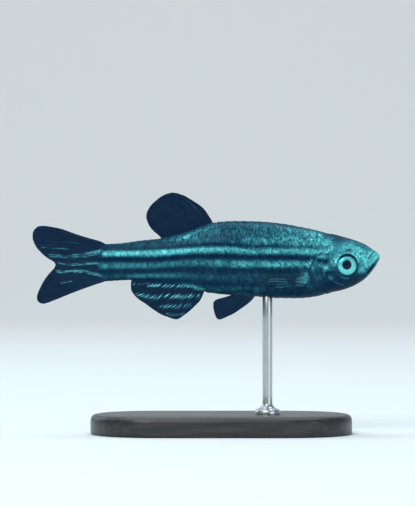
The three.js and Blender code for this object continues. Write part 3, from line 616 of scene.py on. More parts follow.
def make_skin(material):
    tau = np.arange(SEGMENTS) * 2 * PI / SEGMENTS
    phi = tau + 0.15 * np.sin(2 * tau)
    plain = ring_stations()
    last = plain[-1]
    # the rings behind the eye bend to run along the gill cover's edge
    swing = (gill_edge_at(phi) - 8.2)[None, :]
    a = plain[:, None] + swing * (smooth(4.2, 8.2, plain) * smooth(12.4, 8.2, plain))[:, None]
    _, h_ref = spot(np.full(SEGMENTS, 36.0), phi)
    end = end_of_body(h_ref)
    u = 1 - (1 - np.linspace(0, 1, 27)[1:]) ** 1.5
    a = np.vstack([a, last + (end - last)[None, :] * u[:, None]])
    ph = np.repeat(phi[None, :], len(a), 0)
    p, n = surface_and_normal(a, ph)
    h, y = p[..., 2] - AXIS_Z, p[..., 1]
    d = relief(a, h, y)
    d = d * smooth(0.0, 1.2, end_of_body(h) - a) + np.where(a > 30, -0.02, 0) * 1.0
    q = p + n * d[..., None]

    # the eye's opening: inside its rim the skin dips behind the eyeball
    rho = np.hypot(a - EYE_A, h - EYE_H)
    inside = smooth(1.405, 1.335, rho)
    back = eye_front(a, h, 0.94) - 0.14 - 0.5 * smooth(1.28, 0.6, rho)
    out = np.abs(q[..., 1])
    seat = EYE_Y + 0.52 + EYE_LEAN * (a - EYE_A)
    out = out + smooth(2.1, 1.42, rho) * np.maximum(seat - out, 0) + 0.04 * bump(rho - 1.49, 0.09)
    q[..., 1] = np.where(rho < 2.2, np.sign(y) * (out * (1 - inside) + back * inside), q[..., 1])

    rows, cols = a.shape
    verts = q.reshape(-1, 3)
    tip, tail = len(verts), len(verts) + 1
    tail_place = q[-1].mean(0)
    verts = np.vstack([verts, world(0.0, 0.0, 0.0), tail_place])
    body = quads(rows, cols, True)
    j = np.arange(cols)
    k = (j + 1) % cols
    front = np.stack([np.full(cols, tip), k, j], -1)
    rear = np.stack([np.full(cols, tail), (rows - 1) * cols + j, (rows - 1) * cols + k], -1)

    # the unwrap: along the body one way, round it the other
    U = lambda a: 0.012 + 0.976 * a / 37.2
    V = lambda f: 0.012 + 0.976 * f / (2 * PI)
    au = U(a)
    vv = np.r_[V(phi), V(2 * PI)]
    i0 = np.arange(rows - 1)[:, None] + 0 * j[None, :]
    jj = j[None, :] + 0 * i0
    kk = (jj + 1) % cols
    corner = np.stack([
        np.stack([au[i0, jj], vv[jj]], -1), np.stack([au[i0, kk], vv[jj + 1]], -1),
        np.stack([au[i0 + 1, kk], vv[jj + 1]], -1), np.stack([au[i0 + 1, jj], vv[jj]], -1)], 2).reshape(-1, 2)
    cap0 = np.stack([np.stack([np.full(cols, U(0.0)), (vv[j] + vv[j + 1]) / 2], -1),
                     np.stack([au[0, k], vv[j + 1]], -1), np.stack([au[0, j], vv[j]], -1)], 1).reshape(-1, 2)
    cap1 = np.stack([np.stack([np.full(cols, 0.999), (vv[j] + vv[j + 1]) / 2], -1),
                     np.stack([au[-1, j], vv[j]], -1), np.stack([au[-1, k], vv[j + 1]], -1)], 1).reshape(-1, 2)

    tone = tone_at(a, h)
    # painted shade: the skin's tone is darkened in the mouth's cleft, along the lip's fold, just behind the gill
    # cover's edge, in the nostrils and inside the eye's opening
    mouth, t = beside(a, h, MOUTH)
    shade = 0.38 * bump(mouth, 0.10) * smooth(1.0, 0.9, t) * smooth(2.6, 2.2, a) * smooth(0.1, 0.5, a)
    fold, t = beside(a, h, LIP_FOLD)
    shade = np.maximum(shade, 0.5 * bump(fold, 0.085) * smooth(0, 0.15, t) * smooth(1, 0.8, t))
    gill, t = beside(a, h, GILL_EDGE)
    shade = np.maximum(shade, 0.8 * np.where(gill > 0, bump(gill - 0.08, 0.12), bump(gill, 0.03)) * smooth(0, 0.1, t) * smooth(6, 6.6, a))
    for na, nh, r in ((2.2, 0.5, 0.11), (2.53, 0.48, 0.16)):
        shade = np.maximum(shade, 0.5 * bump(np.hypot(a - na, h - nh), r) * smooth(0.3, 0.8, np.abs(y)))
    shade = np.maximum(shade, inside * (0.1 + 0.3 * orbit_dark(np.arctan2(h - EYE_H, EYE_A - a))))
    tone = tone * (1 - 0.8 * shade)
    extra = lambda f, v0, v1: np.r_[f.ravel(), v0, v1]
    fields = {
        "tone": extra(tone, 0.5, 0.2),
        "rnd": extra(0.5 + 0 * a, 0.5, 0.5),
        "edge": extra(0 * a, 0, 0),
        "streak": extra(streak_at(a, h), 0, 0),
        "calm": extra(calm_at(a, h), 0, 0),
    }
    uv = np.vstack([corner, cap0, cap1])
    return build("skin", verts, [body, front, rear], material, fields, uv)


# ------------------------------------------------------------------ the coat of scales
PHI_TABLE_A = np.linspace(5.5, 37.4, 200)
_phi = np.linspace(0, PI, 481)
_y, _h = spot(PHI_TABLE_A[:, None], _phi[None, :])
_s = np.concatenate([np.zeros((200, 1)), np.cumsum(np.hypot(np.diff(_y, axis=1), np.diff(_h, axis=1)), 1)], 1)
_mid = _s[:, 240]
UP_ROOM, DOWN_ROOM = _mid, _s[:, -1] - _mid
_tn = np.linspace(-1, 1, 241)
PHI_TABLE = np.stack([np.interp(np.where(_tn > 0, _mid[i] - _tn * UP_ROOM[i], _mid[i] - _tn * DOWN_ROOM[i]), _s[i], _phi)
                      for i in range(200)])


def phi_at(a, t):
    """The turn round the body at arc length t over (or under) the flank's middle line, on the left side.
    Past the top or bottom it runs on down the other side."""
    up = np.interp(a, PHI_TABLE_A, UP_ROOM)
    down = np.interp(a, PHI_TABLE_A, DOWN_ROOM)
    tn = np.where(t > 0, t / up, t / down)
    over, under = tn > 1, tn < -1
    tn = np.where(over, 2 - tn, np.where(under, -2 - tn, tn))
    ai = np.clip((a - PHI_TABLE_A[0]) / (PHI_TABLE_A[1] - PHI_TABLE_A[0]), 0, 198.999)
    ti = np.clip((tn + 1) * 120, 0, 239.999)
    i, j = ai.astype(int), ti.astype(int)
    fa, ft = ai - i, ti - j
    f = ((PHI_TABLE[i, j] * (1 - fa) + PHI_TABLE[i + 1, j] * fa) * (1 - ft)
         + (PHI_TABLE[i, j + 1] * (1 - fa) + PHI_TABLE[i + 1, j + 1] * fa) * ft)
    return np.where(over, -f, np.where(under, 2 * PI - f, f))


SCALE_STEP = track([(6, 1.0), (9, 1.06), (14, 1.08), (20, 1.04), (26, 0.96), (32, 0.86), (37, 0.78)])  # along the body
ROW_STEP = track([(6, 0.98), (12, 1.05), (18, 1.04), (24, 0.94), (28, 0.84), (33, 0.78), (37, 0.74)])   # round it
SCALE_SLOPE = 0.036
SCALE_THICK = 0.012


def scale_columns():
    a, out = 5.4, [5.4]
    while a < 37.5:
        a += float(SCALE_STEP(a))
        out.append(a)
    return np.array(out)


def disc(rows, cols):
    """A rounded square of places: x towards the rear, v across, both from -1 to 1."""
    u, v = np.meshgrid(np.linspace(-1, 1, rows), np.linspace(-1, 1, cols), indexing="ij")
    u, v = np.sin(u * PI / 2 * 0.92) / math.sin(PI / 2 * 0.92), np.sin(v * PI / 2 * 0.92) / math.sin(PI / 2 * 0.92)
    x = u * np.sqrt(1 - v * v / 2)
    w = v * np.sqrt(1 - u * u / 2)
    return x, w


def make_scales(name, roots, material, rng, n=9, m=9):
    """One joined mesh of thin plates. roots: (a, t, step, row step, side) with side +1 left, -1 right, 0 astride the middle."""
    X, W = disc(n, m)
    r2 = X * X + W * W
    count = n * m
    top_faces = quads(n, m, False)
    border = np.r_[np.arange(m), np.arange(1, n) * m + m - 1, (n - 1) * m + np.arange(m - 2, -1, -1), np.arange(n - 2, 0, -1) * m]
    nxt = np.roll(border, -1)
    rim = np.stack([border, border + count, nxt + count, nxt], -1)
    verts, faces_top, faces_low, tones, edges, rnds, streakss, calms, uvs_top, uvs_low = [], [], [], [], [], [], [], [], [], []
    base = 0
    for a0, t0, step, row, side, lift in roots:
        jit = rng.normal(0, 1, 4)
        length = 1.86 * step * (1 + 0.02 * jit[0])
        half = 0.70 * row * (1 + 0.02 * jit[1])
        front = np.where(X < 0, 1 + 0.12 * X * X, 1)
        a = a0 + length / 2 * (1 + X)
        t = t0 + half * W * front + 0.03 * jit[2] * X * row
        turn = phi_at(np.clip(a, 5.5, 37.39), t)
        if side < 0:
            turn = -turn
        p, nrm = surface_and_normal(np.maximum(a, 5.5), turn)
        off = -COAT + 0.004 + lift + SCALE_SLOPE * (a - a0) + 0.004 * np.maximum(X, 0) ** 2 * smooth(0.3, 1.0, X)
        off = off - 0.004 * smooth(0.88, 1.0, r2) + 0.001 * jit[3]
        off = off + 0.005 * (1 - W * W) - 0.03 * smooth(-0.55, -1.0, X)
        top = p + nrm * off[..., None]
        low = p + nrm * (off - SCALE_THICK * (1 - 0.5 * smooth(0.8, 1.0, r2)))[..., None]
        verts.append(top.reshape(-1, 3))
        verts.append(low.reshape(-1, 3))
        faces_low.append(top_faces[:, ::-1] + base + count)
        faces_low.append(rim + base)
        faces_top.append(top_faces + base)
        h = p[..., 2] - AXIS_Z
        tone = tone_at(a, h)
        tones.append(np.r_[tone.ravel(), tone.ravel()])
        edge = smooth(0.55, 1.0, np.sqrt(np.minimum(r2, 1))) * smooth(-0.2, 0.35, X)
        edges.append(np.r_[edge.ravel(), edge.ravel()])
        rnds.append(np.full(2 * count, rng.random()))
        streak = streak_at(a, h)
        streakss.append(np.r_[streak.ravel(), streak.ravel()])
        calm = calm_at(a, h)
        calms.append(np.r_[calm.ravel(), calm.ravel()])
        # its own small patch at the root's place on the skin's unwrap
        f0 = float(phi_at(np.array(a0), np.array(t0))) * (-1 if side < 0 else 1) % (2 * PI)
        u0, v0 = 0.012 + 0.976 * min(max(a0, 0.2), 36.8) / 37.2, 0.012 + 0.976 * f0 / (2 * PI)
        ru, rv = 0.0055, 0.0075
        u0, v0 = min(max(u0, 0.008), 0.992), min(max(v0, 0.009), 0.991)
        U, V = u0 + ru * X, v0 + rv * W
        UV = np.stack([U.ravel(), V.ravel()], -1)
        uvs_top.append(UV[top_faces].reshape(-1, 2))
        uvs_low.append(UV[top_faces[:, ::-1]].reshape(-1, 2))
        UV2 = np.vstack([UV, UV])
        uvs_low.append(UV2[rim].reshape(-1, 2))
        base += 2 * count
    # the outer faces come last, so that their colour is the one kept on a shared patch
    faces = [np.vstack(faces_low), np.vstack(faces_top)]
    uv = np.vstack(uvs_low + uvs_top)
    fields = {"tone": np.concatenate(tones), "edge": np.concatenate(edges), "rnd": np.concatenate(rnds),
              "calm": np.concatenate(calms), "streak": np.concatenate(streakss)}
    verts = np.vstack(verts)
    return build(name, verts, faces, material, fields, uv)


def scale_roots():
    cols = scale_columns()
    left, middle = [], []
    for j in range(-8, 9):
        odd = j % 2
        for i in range(len(cols) - 1):
            a0 = cols[i] + (0.5 * (cols[i + 1] - cols[i]) if odd else 0)
            step, row = float(SCALE_STEP(a0)), float(ROW_STEP(a0))
            length = 1.86 * step
            ac = a0 + 0.6 * length
            t0 = j * float(ROW_STEP(min(ac, 37)))
            up = np.interp(ac, PHI_TABLE_A, UP_ROOM)
            down = np.interp(ac, PHI_TABLE_A, DOWN_ROOM)
            if t0 > up - 0.5 * row or t0 < -(down - 0.5 * row):
                continue
            f = phi_at(np.array(ac), np.array(t0))
            y, h = spot(np.array(ac), f)
            if scaled(ac + 0 * h, h) < 0.5 or a0 + 0.75 * length > end_of_body(h) + 0.25:
                continue
            left.append((a0, t0, step, row, 1, 0.0))
    for i in range(len(cols) - 1):
        a0 = cols[i]
        step, row = float(SCALE_STEP(a0)), float(ROW_STEP(a0))
        up = float(np.interp(a0 + 0.9 * step, PHI_TABLE_A, UP_ROOM))
        down = float(np.interp(a0 + 0.9 * step, PHI_TABLE_A, DOWN_ROOM))
        tail = a0 + 1.5 * step
        if a0 > 6.6 and tail < 36.2 and not (21.0 < tail and a0 + 0.5 * step < 27.9):
            middle.append((a0, up, step, row * 1.05, 0, 0.008))
        if a0 > 6.3 and tail < 35.8 and not (22.2 < tail and a0 + 0.5 * step < 32.0):
            middle.append((a0, -down, step, row * 1.05, 0, 0.008))
    right = [(a, t, s, r, -1, l) for a, t, s, r, _, l in left]
    return left, right, middle


# ------------------------------------------------------------------ fins
def sheet_between(base, lead, margin, trail, rows, cols):
    """Places (a, h) between four edges: row 0 on the base and the last on the margin, column 0 in front."""
    b, m = line(base, cols)[None], line(margin, cols)[None]
    f, t = line(lead, rows)[:, None], line(trail, rows)[:, None]
    r = np.linspace(0, 1, rows)[:, None, None]
    s = np.linspace(0, 1, cols)[None, :, None]
    corners = (1 - r) * (1 - s) * b[:, :1] + (1 - r) * s * b[:, -1:] + r * (1 - s) * m[:, :1] + r * s * m[:, -1:]
    return (1 - r) * b + r * m + (1 - s) * f + s * t - corners


def fin_rays(P, centres, branches, thick, fork=(0.38, 0.7), joint=0.26):
    """Over a fin's sheet: how high its rays stand over the membrane, in mm, and how much a place is ray, 0 to 1.
    centres: each ray's place between the front edge, 0, and the rear edge, 1; branches: how often each one divides."""
    rows, cols = P.shape[:2]
    r = np.linspace(0, 1, rows)[:, None]
    s = np.linspace(0, 1, cols)[None, :]
    across = np.linalg.norm(np.gradient(P, axis=1), axis=2) * (cols - 1)
    step = np.linalg.norm(np.diff(P, axis=0), axis=2)
    along = np.vstack([np.zeros((1, cols)), np.cumsum(step, 0)])
    high = np.zeros((rows, cols))
    much = np.zeros((rows, cols))
    centres = np.asarray(centres)
    for k, c in enumerate(centres):
        near = [abs(c - centres[j]) for j in (k - 1, k + 1) if 0 <= j < len(centres)]
        room = min(near) if near else 0.1
        offsets = [0.0 * r]
        if branches[k] > 0:
            d = 0.23 * room * smooth(fork[0], fork[0] + 0.25, r)
            offsets = [-d, d]
        if branches[k] > 1:
            d = 0.115 * room * smooth(fork[1], fork[1] + 0.2, r)
            offsets = [o + e for o in offsets for e in (-d, d)]
        share = 1.0 / math.sqrt(len(offsets))
        for o in offsets:
            w = thick * (0.55 - 0.3 * r) * (1 - (1 - share) * smooth(fork[0], 1, r)) + 0.012
            g = np.exp(-np.abs((s - c - o) * across / w) ** 2.4)
            tall = thick * (0.52 - 0.36 * r) * (1 - 0.5 * (1 - share) * smooth(fork[0], 1, r))
            beads = 1 - 0.2 * smooth(0.22, 0.45, r) * bump((along / joint) % 1 - 0.5, 0.16)
            high = np.maximum(high, g * tall * beads)
            much = np.maximum(much, g)
    return high, much, along


def make_fin(name, Q, high, much, tone, material, membrane=0.022, rim=0.6, extra=None):
    """A closed thin mesh on both sides of the sheet Q, [row, column, xyz] in mm."""
    rows, cols = Q.shape[:2]
    n = grid_normals(Q, False)
    edge = np.minimum(np.minimum(np.arange(cols), np.arange(cols)[::-1])[None, :] + 0 * np.arange(rows)[:, None],
                      (np.arange(rows)[::-1])[:, None] + 0 * np.arange(cols)[None, :])
    half = (membrane + high) * np.where(edge == 0, rim * 0.5, np.where(edge == 1, 0.5 + rim * 0.5, 1.0))
    front, back = Q + n * half[..., None], Q - n * half[..., None]
    count = rows * cols
    verts = np.vstack([front.reshape(-1, 3), back.reshape(-1, 3)])
    faces = quads(rows, cols, False)
    loop = np.r_[np.arange(cols), np.arange(1, rows) * cols + cols - 1, (rows - 1) * cols + np.arange(cols - 2, -1, -1),
                 np.arange(rows - 2, 0, -1) * cols]
    nxt = np.roll(loop, -1)
    border = np.stack([loop, loop + count, nxt + count, nxt], -1)
    s, r = np.meshgrid(np.linspace(0.004, 0.996, cols), np.linspace(0.0, 1.0, rows))
    one = np.stack([s.ravel(), 0.004 + 0.488 * r.ravel()], -1)
    two = np.stack([s.ravel(), 0.996 - 0.488 * r.ravel()], -1)
    both = np.vstack([one, two])
    rim_uv = np.stack([one[loop], one[loop], one[nxt], one[nxt]], 1)
    uv = np.vstack([rim_uv.reshape(-1, 2), both[faces].reshape(-1, 2), both[faces[:, ::-1] + count].reshape(-1, 2)])
    twice = lambda f: np.r_[np.broadcast_to(f, (rows, cols)).ravel(), np.broadcast_to(f, (rows, cols)).ravel()]
    fields = {"tone": twice(tone), "ray": twice(much)}
    for key, value in (extra or {}).items():
        fields[key] = twice(value)
    return build(name, verts, [border, faces, faces[:, ::-1] + count], material, fields, uv)


def scalloped(P, much, depth):
    """The margin drawn in a little between the rays' tips."""
    rows = P.shape[0]
    r = np.linspace(0, 1, rows)[:, None, None]
    length = np.linalg.norm(P[-1] - P[0], axis=1)[None, :, None]
    pull = depth * (1 - much[-1])[None, :, None] * smooth(0.8, 1.0, r)
    inward = (P[0] - P[-1])[None] / np.maximum(length, 1e-6)
    return P + inward * pull


def dashes(a, h, lines, period, slant, seed=0.0):
    """Pale lines broken into short slanted dashes. Each line: (px points, half width in mm, strength).
    period: mm from dash to dash; slant: how far along the line a dash leans for each mm across it."""
    out = np.zeros(np.shape(a))
    for k, (points, width, gain) in enumerate(lines):
        p = px(points)
        d, t = beside(a, h, p)
        length = sum(math.dist(p[i], p[i + 1]) for i in range(len(p) - 1))
        phase = (t * length + slant * d) / period + 0.8 * speck(t * length * 0.9, 0 * t + k, seed + 5)
        n, f = np.floor(phase), phase - np.floor(phase)
        chance = np.sin(n * 12.9898 + k * 78.233 + seed) * 43758.5453
        chance = chance - np.floor(chance)
        chance2 = np.sin(n * 39.346 + k * 11.135 + seed) * 24634.6345
        chance2 = chance2 - np.floor(chance2)
        one = bump(f - 0.5, 0.12 + 0.09 * chance)
        there = smooth(0.14, 0.34, chance2) * (0.45 + 0.55 * chance)
        body = bump(d - width * 0.7 * (chance - 0.5), width * (0.65 + 0.55 * chance2))
        ends = smooth(0.0, 0.05, t) * smooth(1.0, 0.95, t)
        haze = 0.10 + 0.25 * smooth(0.62, 0.85, speck(t * length * 0.8, 0 * t + k * 2.7, seed + 9)) * bump(d + 0.25 * width, 0.5 * width)
        out = np.maximum(out, gain * ends * (haze * body + one * there * body))
    return out


def streaks(a, h, lines, seed=0.0):
    """Brightness of pale lines on a fin, each a bundle of fine broken strokes side by side."""
    out = np.zeros(np.shape(a))
    for k, (points, spread, count, gain) in enumerate(lines):
        p = px(points)
        d, t = beside(a, h, p)
        length = sum(math.dist(p[i], p[i + 1]) for i in range(len(p) - 1))
        ends = smooth(0.0, 0.08, t) * smooth(1.0, 0.90, t)
        run = t * length
        for m in range(count):
            off = spread * ((2 * m + 1) / count - 1)
            # a stroke wanders a little, fades in and out, and is cut into short slanted pieces
            wander = 0.05 * (speck(run * 0.9, 0 * t + 7.3 * k + m, seed) - 0.5)
            there = smooth(0.30, 0.62, speck(run * 1.1, 0 * t + 3.7 * m + 11.1 * k, seed + 1))
            cut = 0.55 + 0.45 * smooth(0.25, 0.6, speck((run + 0.8 * d) * 4.2, 0 * t + 5.9 * m + k, seed + 2))
            out = np.maximum(out, gain * bump(d - off - wander, 0.058) * ends * there * cut)
        out = np.maximum(out, 0.18 * gain * bump(d, spread + 0.05) * ends)
    return out


def dorsal_fin(material):
    along = np.linspace((379.5 - 213.6) * 0.13, (379.5 - 163.4) * 0.13, 9)
    base = [(float(x), float(TOP(x)) - 0.32) for x in along]
    lead = base[:1] + px([(212.2, 221.5), (208, 214.5), (204, 208.9), (200, 205.4), (196, 202.6), (192, 200.1), (188, 197.8), (184.5, 196.0)])
    margin = px([(184.5, 196.0), (180, 194.0), (176, 192.8), (172, 192.5), (168, 193.3), (164, 194.8), (160, 197.1), (156, 200.3),
                 (152, 203.9), (148.6, 208.5), (146.6, 213), (146.2, 217), (147.5, 222)])
    trail = base[-1:] + px([(158.5, 235.3), (154, 231.5), (150, 227), (147.5, 222)])
    rows, cols = 110, 170
    P = sheet_between(base, lead, margin, trail, rows, cols)
    centres = [0.012, 0.05, 0.13, 0.24, 0.36, 0.48, 0.6, 0.72, 0.84, 0.965]
    high, much, along = fin_rays(P, centres, [0, 0, 0, 2, 2, 2, 2, 2, 2, 1], 0.2)
    P = scalloped(P, much, 0.028)
    r, s = np.linspace(0, 1, rows)[:, None], np.linspace(0, 1, cols)[None, :]
    wave = 0.10 * r ** 1.5 * np.sin(2 * PI * (1.6 * s + 0.25 * r)) + 0.05 * r * np.sin(2 * PI * (3.4 * s + 0.4))
    Q = world(P[..., 0], wave, P[..., 1])
    a, h = P[..., 0], P[..., 1]
    tone = 0.145 + 0.0 * a + 0.02 * speck(a * 1.7, h * 1.7, 3.0)
    tone = tone + 0.022 * much * smooth(1.0, 0.2, r)
    tone = tone + 0.16 * bump(s - 0.135, 0.010) * smooth(0.35, 0.5, r) * smooth(0.85, 0.65, r)
    tone = tone + 0.07 * bump(s - 0.24, 0.010) * smooth(0.45, 0.55, r) * smooth(0.75, 0.65, r)
    return make_fin("dorsal_fin_rays", Q, high, much, tone, material)


ANAL_LINES = [
    ([(207, 291.2), (200, 289.0), (192, 287.3), (184, 286.4), (172, 286.1), (160, 285.7), (146, 285.9)], 0.21, 1.0),
    ([(156, 283.8), (147, 283.5), (139, 284.0), (131.5, 284.6)], 0.12, 0.60),
    ([(201.5, 295.4), (194, 295.9), (186, 296.7), (178.8, 297.0), (172, 296.8), (166, 296.2), (158, 297.0), (151, 297.3), (145, 296.2), (140, 295.0), (134.6, 292.6)], 0.27, 1.0),
    ([(192.5, 304.5), (185, 305.4), (178.8, 306.4), (173, 306.8), (167, 306.4), (162.5, 306.1), (157, 307.6)], 0.26, 0.85),
    ([(185.4, 313.2), (178.8, 314.4), (172, 315.0), (165.5, 313.4)], 0.20, 0.55),
]


def anal_fin(material):
    along = np.linspace((379.5 - 205.2) * 0.13, (379.5 - 132.0) * 0.13, 9)
    base = [(float(x), float(BOTTOM(x)) + 0.3) for x in along]
    lead = base[:1] + px([(204, 292.2), (202.3, 296.4), (200, 300.7), (196, 305), (192, 308.8), (188, 312.3), (184, 315.3), (180.5, 317.6)])
    margin = px([(180.5, 317.6), (176.3, 319.5), (172, 318.7), (168, 317.2), (164, 315.8), (160, 314.0), (156, 311.5), (152, 308.9), (148, 305.8),
                 (144, 302.9), (140, 300.4), (136, 297.2), (132.6, 293)])
    trail = base[-1:] + px([(131.2, 281), (130.8, 285), (131.0, 289.5), (132.6, 293)])
    rows, cols = 110, 230
    P = sheet_between(base, lead, margin, trail, rows, cols)
    count = 15
    centres = [0.01, 0.035, 0.075] + [0.075 + (k + 1) * (0.965 - 0.075) / (count - 3) for k in range(count - 3)]
    high, much, along = fin_rays(P, centres, [0, 0, 0] + [2] * 10 + [1, 1], 0.19)
    P = scalloped(P, much, 0.032)
    r, s = np.linspace(0, 1, rows)[:, None], np.linspace(0, 1, cols)[None, :]
    wave = 0.10 * r ** 1.5 * np.sin(2 * PI * (2.1 * s + 0.2)) + 0.04 * r * np.sin(2 * PI * (4.7 * s + 0.1))
    Q = world(P[..., 0], wave, P[..., 1])
    a, h = P[..., 0], P[..., 1]
    tone = 0.15 + 0.02 * speck(a * 1.7, h * 1.7, 5.0) + 0.03 * much * smooth(1.0, 0.2, r)
    # the pale lines break up into short dashes that lean along the rays
    pale = 0.86 * dashes(a, h, ANAL_LINES, 0.42, 1.15, 2.0)
    return make_fin("anal_fin_rays", Q, high, much, tone + pale, material)


# each: a bundle's middle line, how far it spreads to each side in mm, how many strokes it has, its strength
TAIL_LINES = [
    ([(104.0, 250.0), (97, 251.9), (90, 253.4), (84, 254.4), (76, 255.8), (69, 256.4)], 0.20, 5, 0.62),
    ([(101, 253.0), (92, 255.0), (82, 256.8), (70, 257.0)], 0.12, 3, 0.38),
    ([(70, 249.0), (60, 248.4), (50, 247.9), (40, 247.5)], 0.06, 2, 0.38),
    ([(52, 245.0), (42, 244.8), (36, 244.6)], 0.03, 1, 0.14),
    ([(79, 242.8), (70, 242.3), (62, 242.2)], 0.03, 1, 0.12),
    ([(103, 263.0), (96, 263.0), (88, 263.4), (80, 264.0), (70, 264.5), (62, 263.6), (55.5, 261.6)], 0.15, 3, 0.55),
    ([(104.5, 277.0), (98, 274.6), (91, 272.9), (84, 271.2), (76, 270.9), (68, 271.3), (60, 271.6), (54, 271.2)], 0.17, 4, 0.60),
    ([(87, 270.2), (81, 269.6), (74, 270.6)], 0.06, 2, 0.30),
    ([(72.5, 280.8), (67, 281.9), (60, 282.8)], 0.07, 2, 0.50),
    ([(92, 282.2), (85, 282.4), (80, 283.0)], 0.10, 2, 0.16),
    ([(79, 255.4), (66, 256.5), (56, 256.1), (47, 255.3)], 0.17, 4, 0.42),
]


def tail_fin(material):
    n = 14
    base = [(float(end_of_body(h)) - 0.9, float(h)) for h in np.linspace(1.45, -2.9, n)]
    lead = [(base[0][0], base[0][1])] + px([(104.5, 243.3), (100, 241.2), (92, 238.9), (84, 236.6), (76, 234.0), (68, 231.1), (60, 228.5), (52, 226.9), (44, 225.8), (40.2, 225.9), (37, 226.8)])
    margin = px([(37, 226.8), (34.4, 229.2), (32.5, 233.0), (32.4, 237.5), (33.8, 242.5), (36.4, 247.6), (40, 251.6), (44, 255.5), (48, 258.4), (52, 260.7), (54.6, 262.9), (55.3, 265.0),
                 (54.3, 267.6), (51.6, 270.8), (48, 274.8), (44, 280.2), (40.6, 286.4), (38, 292.2), (36.6, 297.4), (37.4, 300.9), (39.6, 303)])
    trail = [(base[-1][0], base[-1][1])] + px([(104.5, 281.6), (100, 283.1), (92, 285.8), (84, 288.6), (76, 291.6), (68, 294.7), (60, 298), (52, 301.2), (47, 303.0), (43, 303.8), (39.6, 303)])
    rows, cols = 150, 300
    P = sheet_between(base, lead, margin, trail, rows, cols)
    total = 19
    centres = [0.004, 0.02] + [0.045 + k * (0.955 - 0.045) / (total - 1) for k in range(total)] + [0.98, 0.996]
    branches = [0, 0, 0] + [2] * (total - 2) + [0, 0, 0]
    high, much, along = fin_rays(P, centres, branches, 0.24, fork=(0.34, 0.64))
    P = scalloped(P, much, 0.032)
    r, s = np.linspace(0, 1, rows)[:, None], np.linspace(0, 1, cols)[None, :]
    wave = 0.16 * smooth(0.1, 1, r) * np.sin(2 * PI * (1.0 * s + 0.3)) + 0.05 * smooth(0.2, 1, r) * np.sin(2 * PI * (4.1 * s + 0.2 * r))
    Q = world(P[..., 0], wave, P[..., 1])
    a, h = P[..., 0], P[..., 1]
    tone = 0.145 + 0.02 * speck(a * 1.7, h * 1.7, 7.0)
    outer = np.maximum(smooth(0.0, 1.6, h - 0.9), smooth(-2.6, -4.2, h))
    tone = tone + 0.02 * much * smooth(1.0, 0.3, r)
    # between the pale lines the stripes of the body run on, a little lighter than the fin's outer parts
    tone = tone + 0.01 * (1 - outer) * smooth(0.0, 0.3, r)
    pale = 0.84 * streaks(a, h, TAIL_LINES, 4.0)
    pale = pale + 0.06 * smooth(0.72, 0.95, speck(s * 80.0 + 0.0 * r, r * 5.0, 15.0)) * (1 - outer) * smooth(0.1, 0.3, r)
    near = smooth(36.6, 35.8, a)
    tone = tone * (1 - near) + stripes_at(a, h) * near
    return make_fin("tail_fin_rays", Q, high * smooth(-0.02, 0.12, r), much, tone + pale, material)


def paired(a, h, side, root, lean_down, lean_back, belly=None):
    """Sets a flat sheet out from its root, as the solids do, with its sideways place for each place."""
    return side * (root[2] + lean_down * np.maximum(root[1] - h, -1) + lean_back * np.maximum(a - root[0], -1))


def pelvic_fin(side, material):
    base = px([(255.2, 295.6), (251.0, 293.8), (245.5, 292.6), (239.5, 292.2), (233.5, 292.6)])
    lead = px([(255.2, 295.6), (252.6, 299.0), (248, 303.3), (244, 306.3), (240, 309.0), (236, 311.8), (232, 314.1), (228, 315.9), (224, 317.7), (220.6, 319.1)])
    margin = px([(220.6, 319.1), (218.4, 319.2), (216.4, 317.6), (214.9, 314.6), (213.8, 310.6), (213.2, 306.4), (213.2, 303.2), (214.4, 301.2)])
    trail = px([(233.5, 292.6), (230.5, 295.4), (226, 297.0), (221, 298.3), (217.4, 299.3), (214.4, 301.2)])
    rows, cols = 100, 130
    P = sheet_between(base, lead, margin, trail, rows, cols)
    centres = [0.01, 0.05] + [0.05 + (k + 1) * (0.965 - 0.05) / 7 for k in range(7)]
    high, much, along = fin_rays(P, centres, [0, 0, 2, 2, 2, 2, 2, 2, 1], 0.2)
    P = scalloped(P, much, 0.04)
    r, s = np.linspace(0, 1, rows)[:, None], np.linspace(0, 1, cols)[None, :]
    a, h = P[..., 0], P[..., 1]
    y = paired(a, h, side, (16.8, -4.7, 0.95), 0.3, 0.02)
    y = y + side * (0.10 * r ** 1.3 * np.sin(2 * PI * (1.3 * s + 0.1)))
    Q = world(a, y, h)
    tone = 0.145 + 0.02 * speck(a * 1.7, h * 1.7, 8.0) + 0.04 * much * smooth(1.0, 0.2, r)
    tone = tone + 0.10 * smooth(0.22, 0.0, r) * (0.4 + 0.6 * speck(s * 26, r * 3, 2.0))
    return make_fin("pelvic_fin_rays_" + ("left" if side > 0 else "right"), Q, high, much, tone, material)


PECTORAL_STROKES = [
    ([(288.0, 280.2), (281.0, 278.8), (275.0, 278.6), (267.5, 280.4)], 0.055, 0.24),
    ([(290.0, 282.8), (281.0, 281.3), (274.0, 281.0), (265.5, 282.8)], 0.055, 0.26),
    ([(289.5, 284.6), (284.0, 283.5), (276.0, 284.5)], 0.05, 0.22),
    ([(293.0, 284.9), (286.5, 286.3), (280.0, 286.9), (272.5, 286.6)], 0.05, 0.20),
    ([(307.5, 282.6), (301.0, 281.8), (293.5, 280.9)], 0.055, 0.26),
    ([(308.5, 286.6), (301.5, 284.9), (294.0, 285.4)], 0.05, 0.22),
    ([(308.0, 284.4), (302.0, 283.2), (296.0, 282.8)], 0.05, 0.18),
    ([(307.5, 276.5), (301.0, 277.4), (295.0, 279.2)], 0.06, 0.18),
    ([(307.8, 279.4), (301.5, 279.8), (294.5, 279.6)], 0.05, 0.16),
    ([(292.0, 290.5), (286.0, 290.2), (281.0, 289.2)], 0.05, 0.10),
]


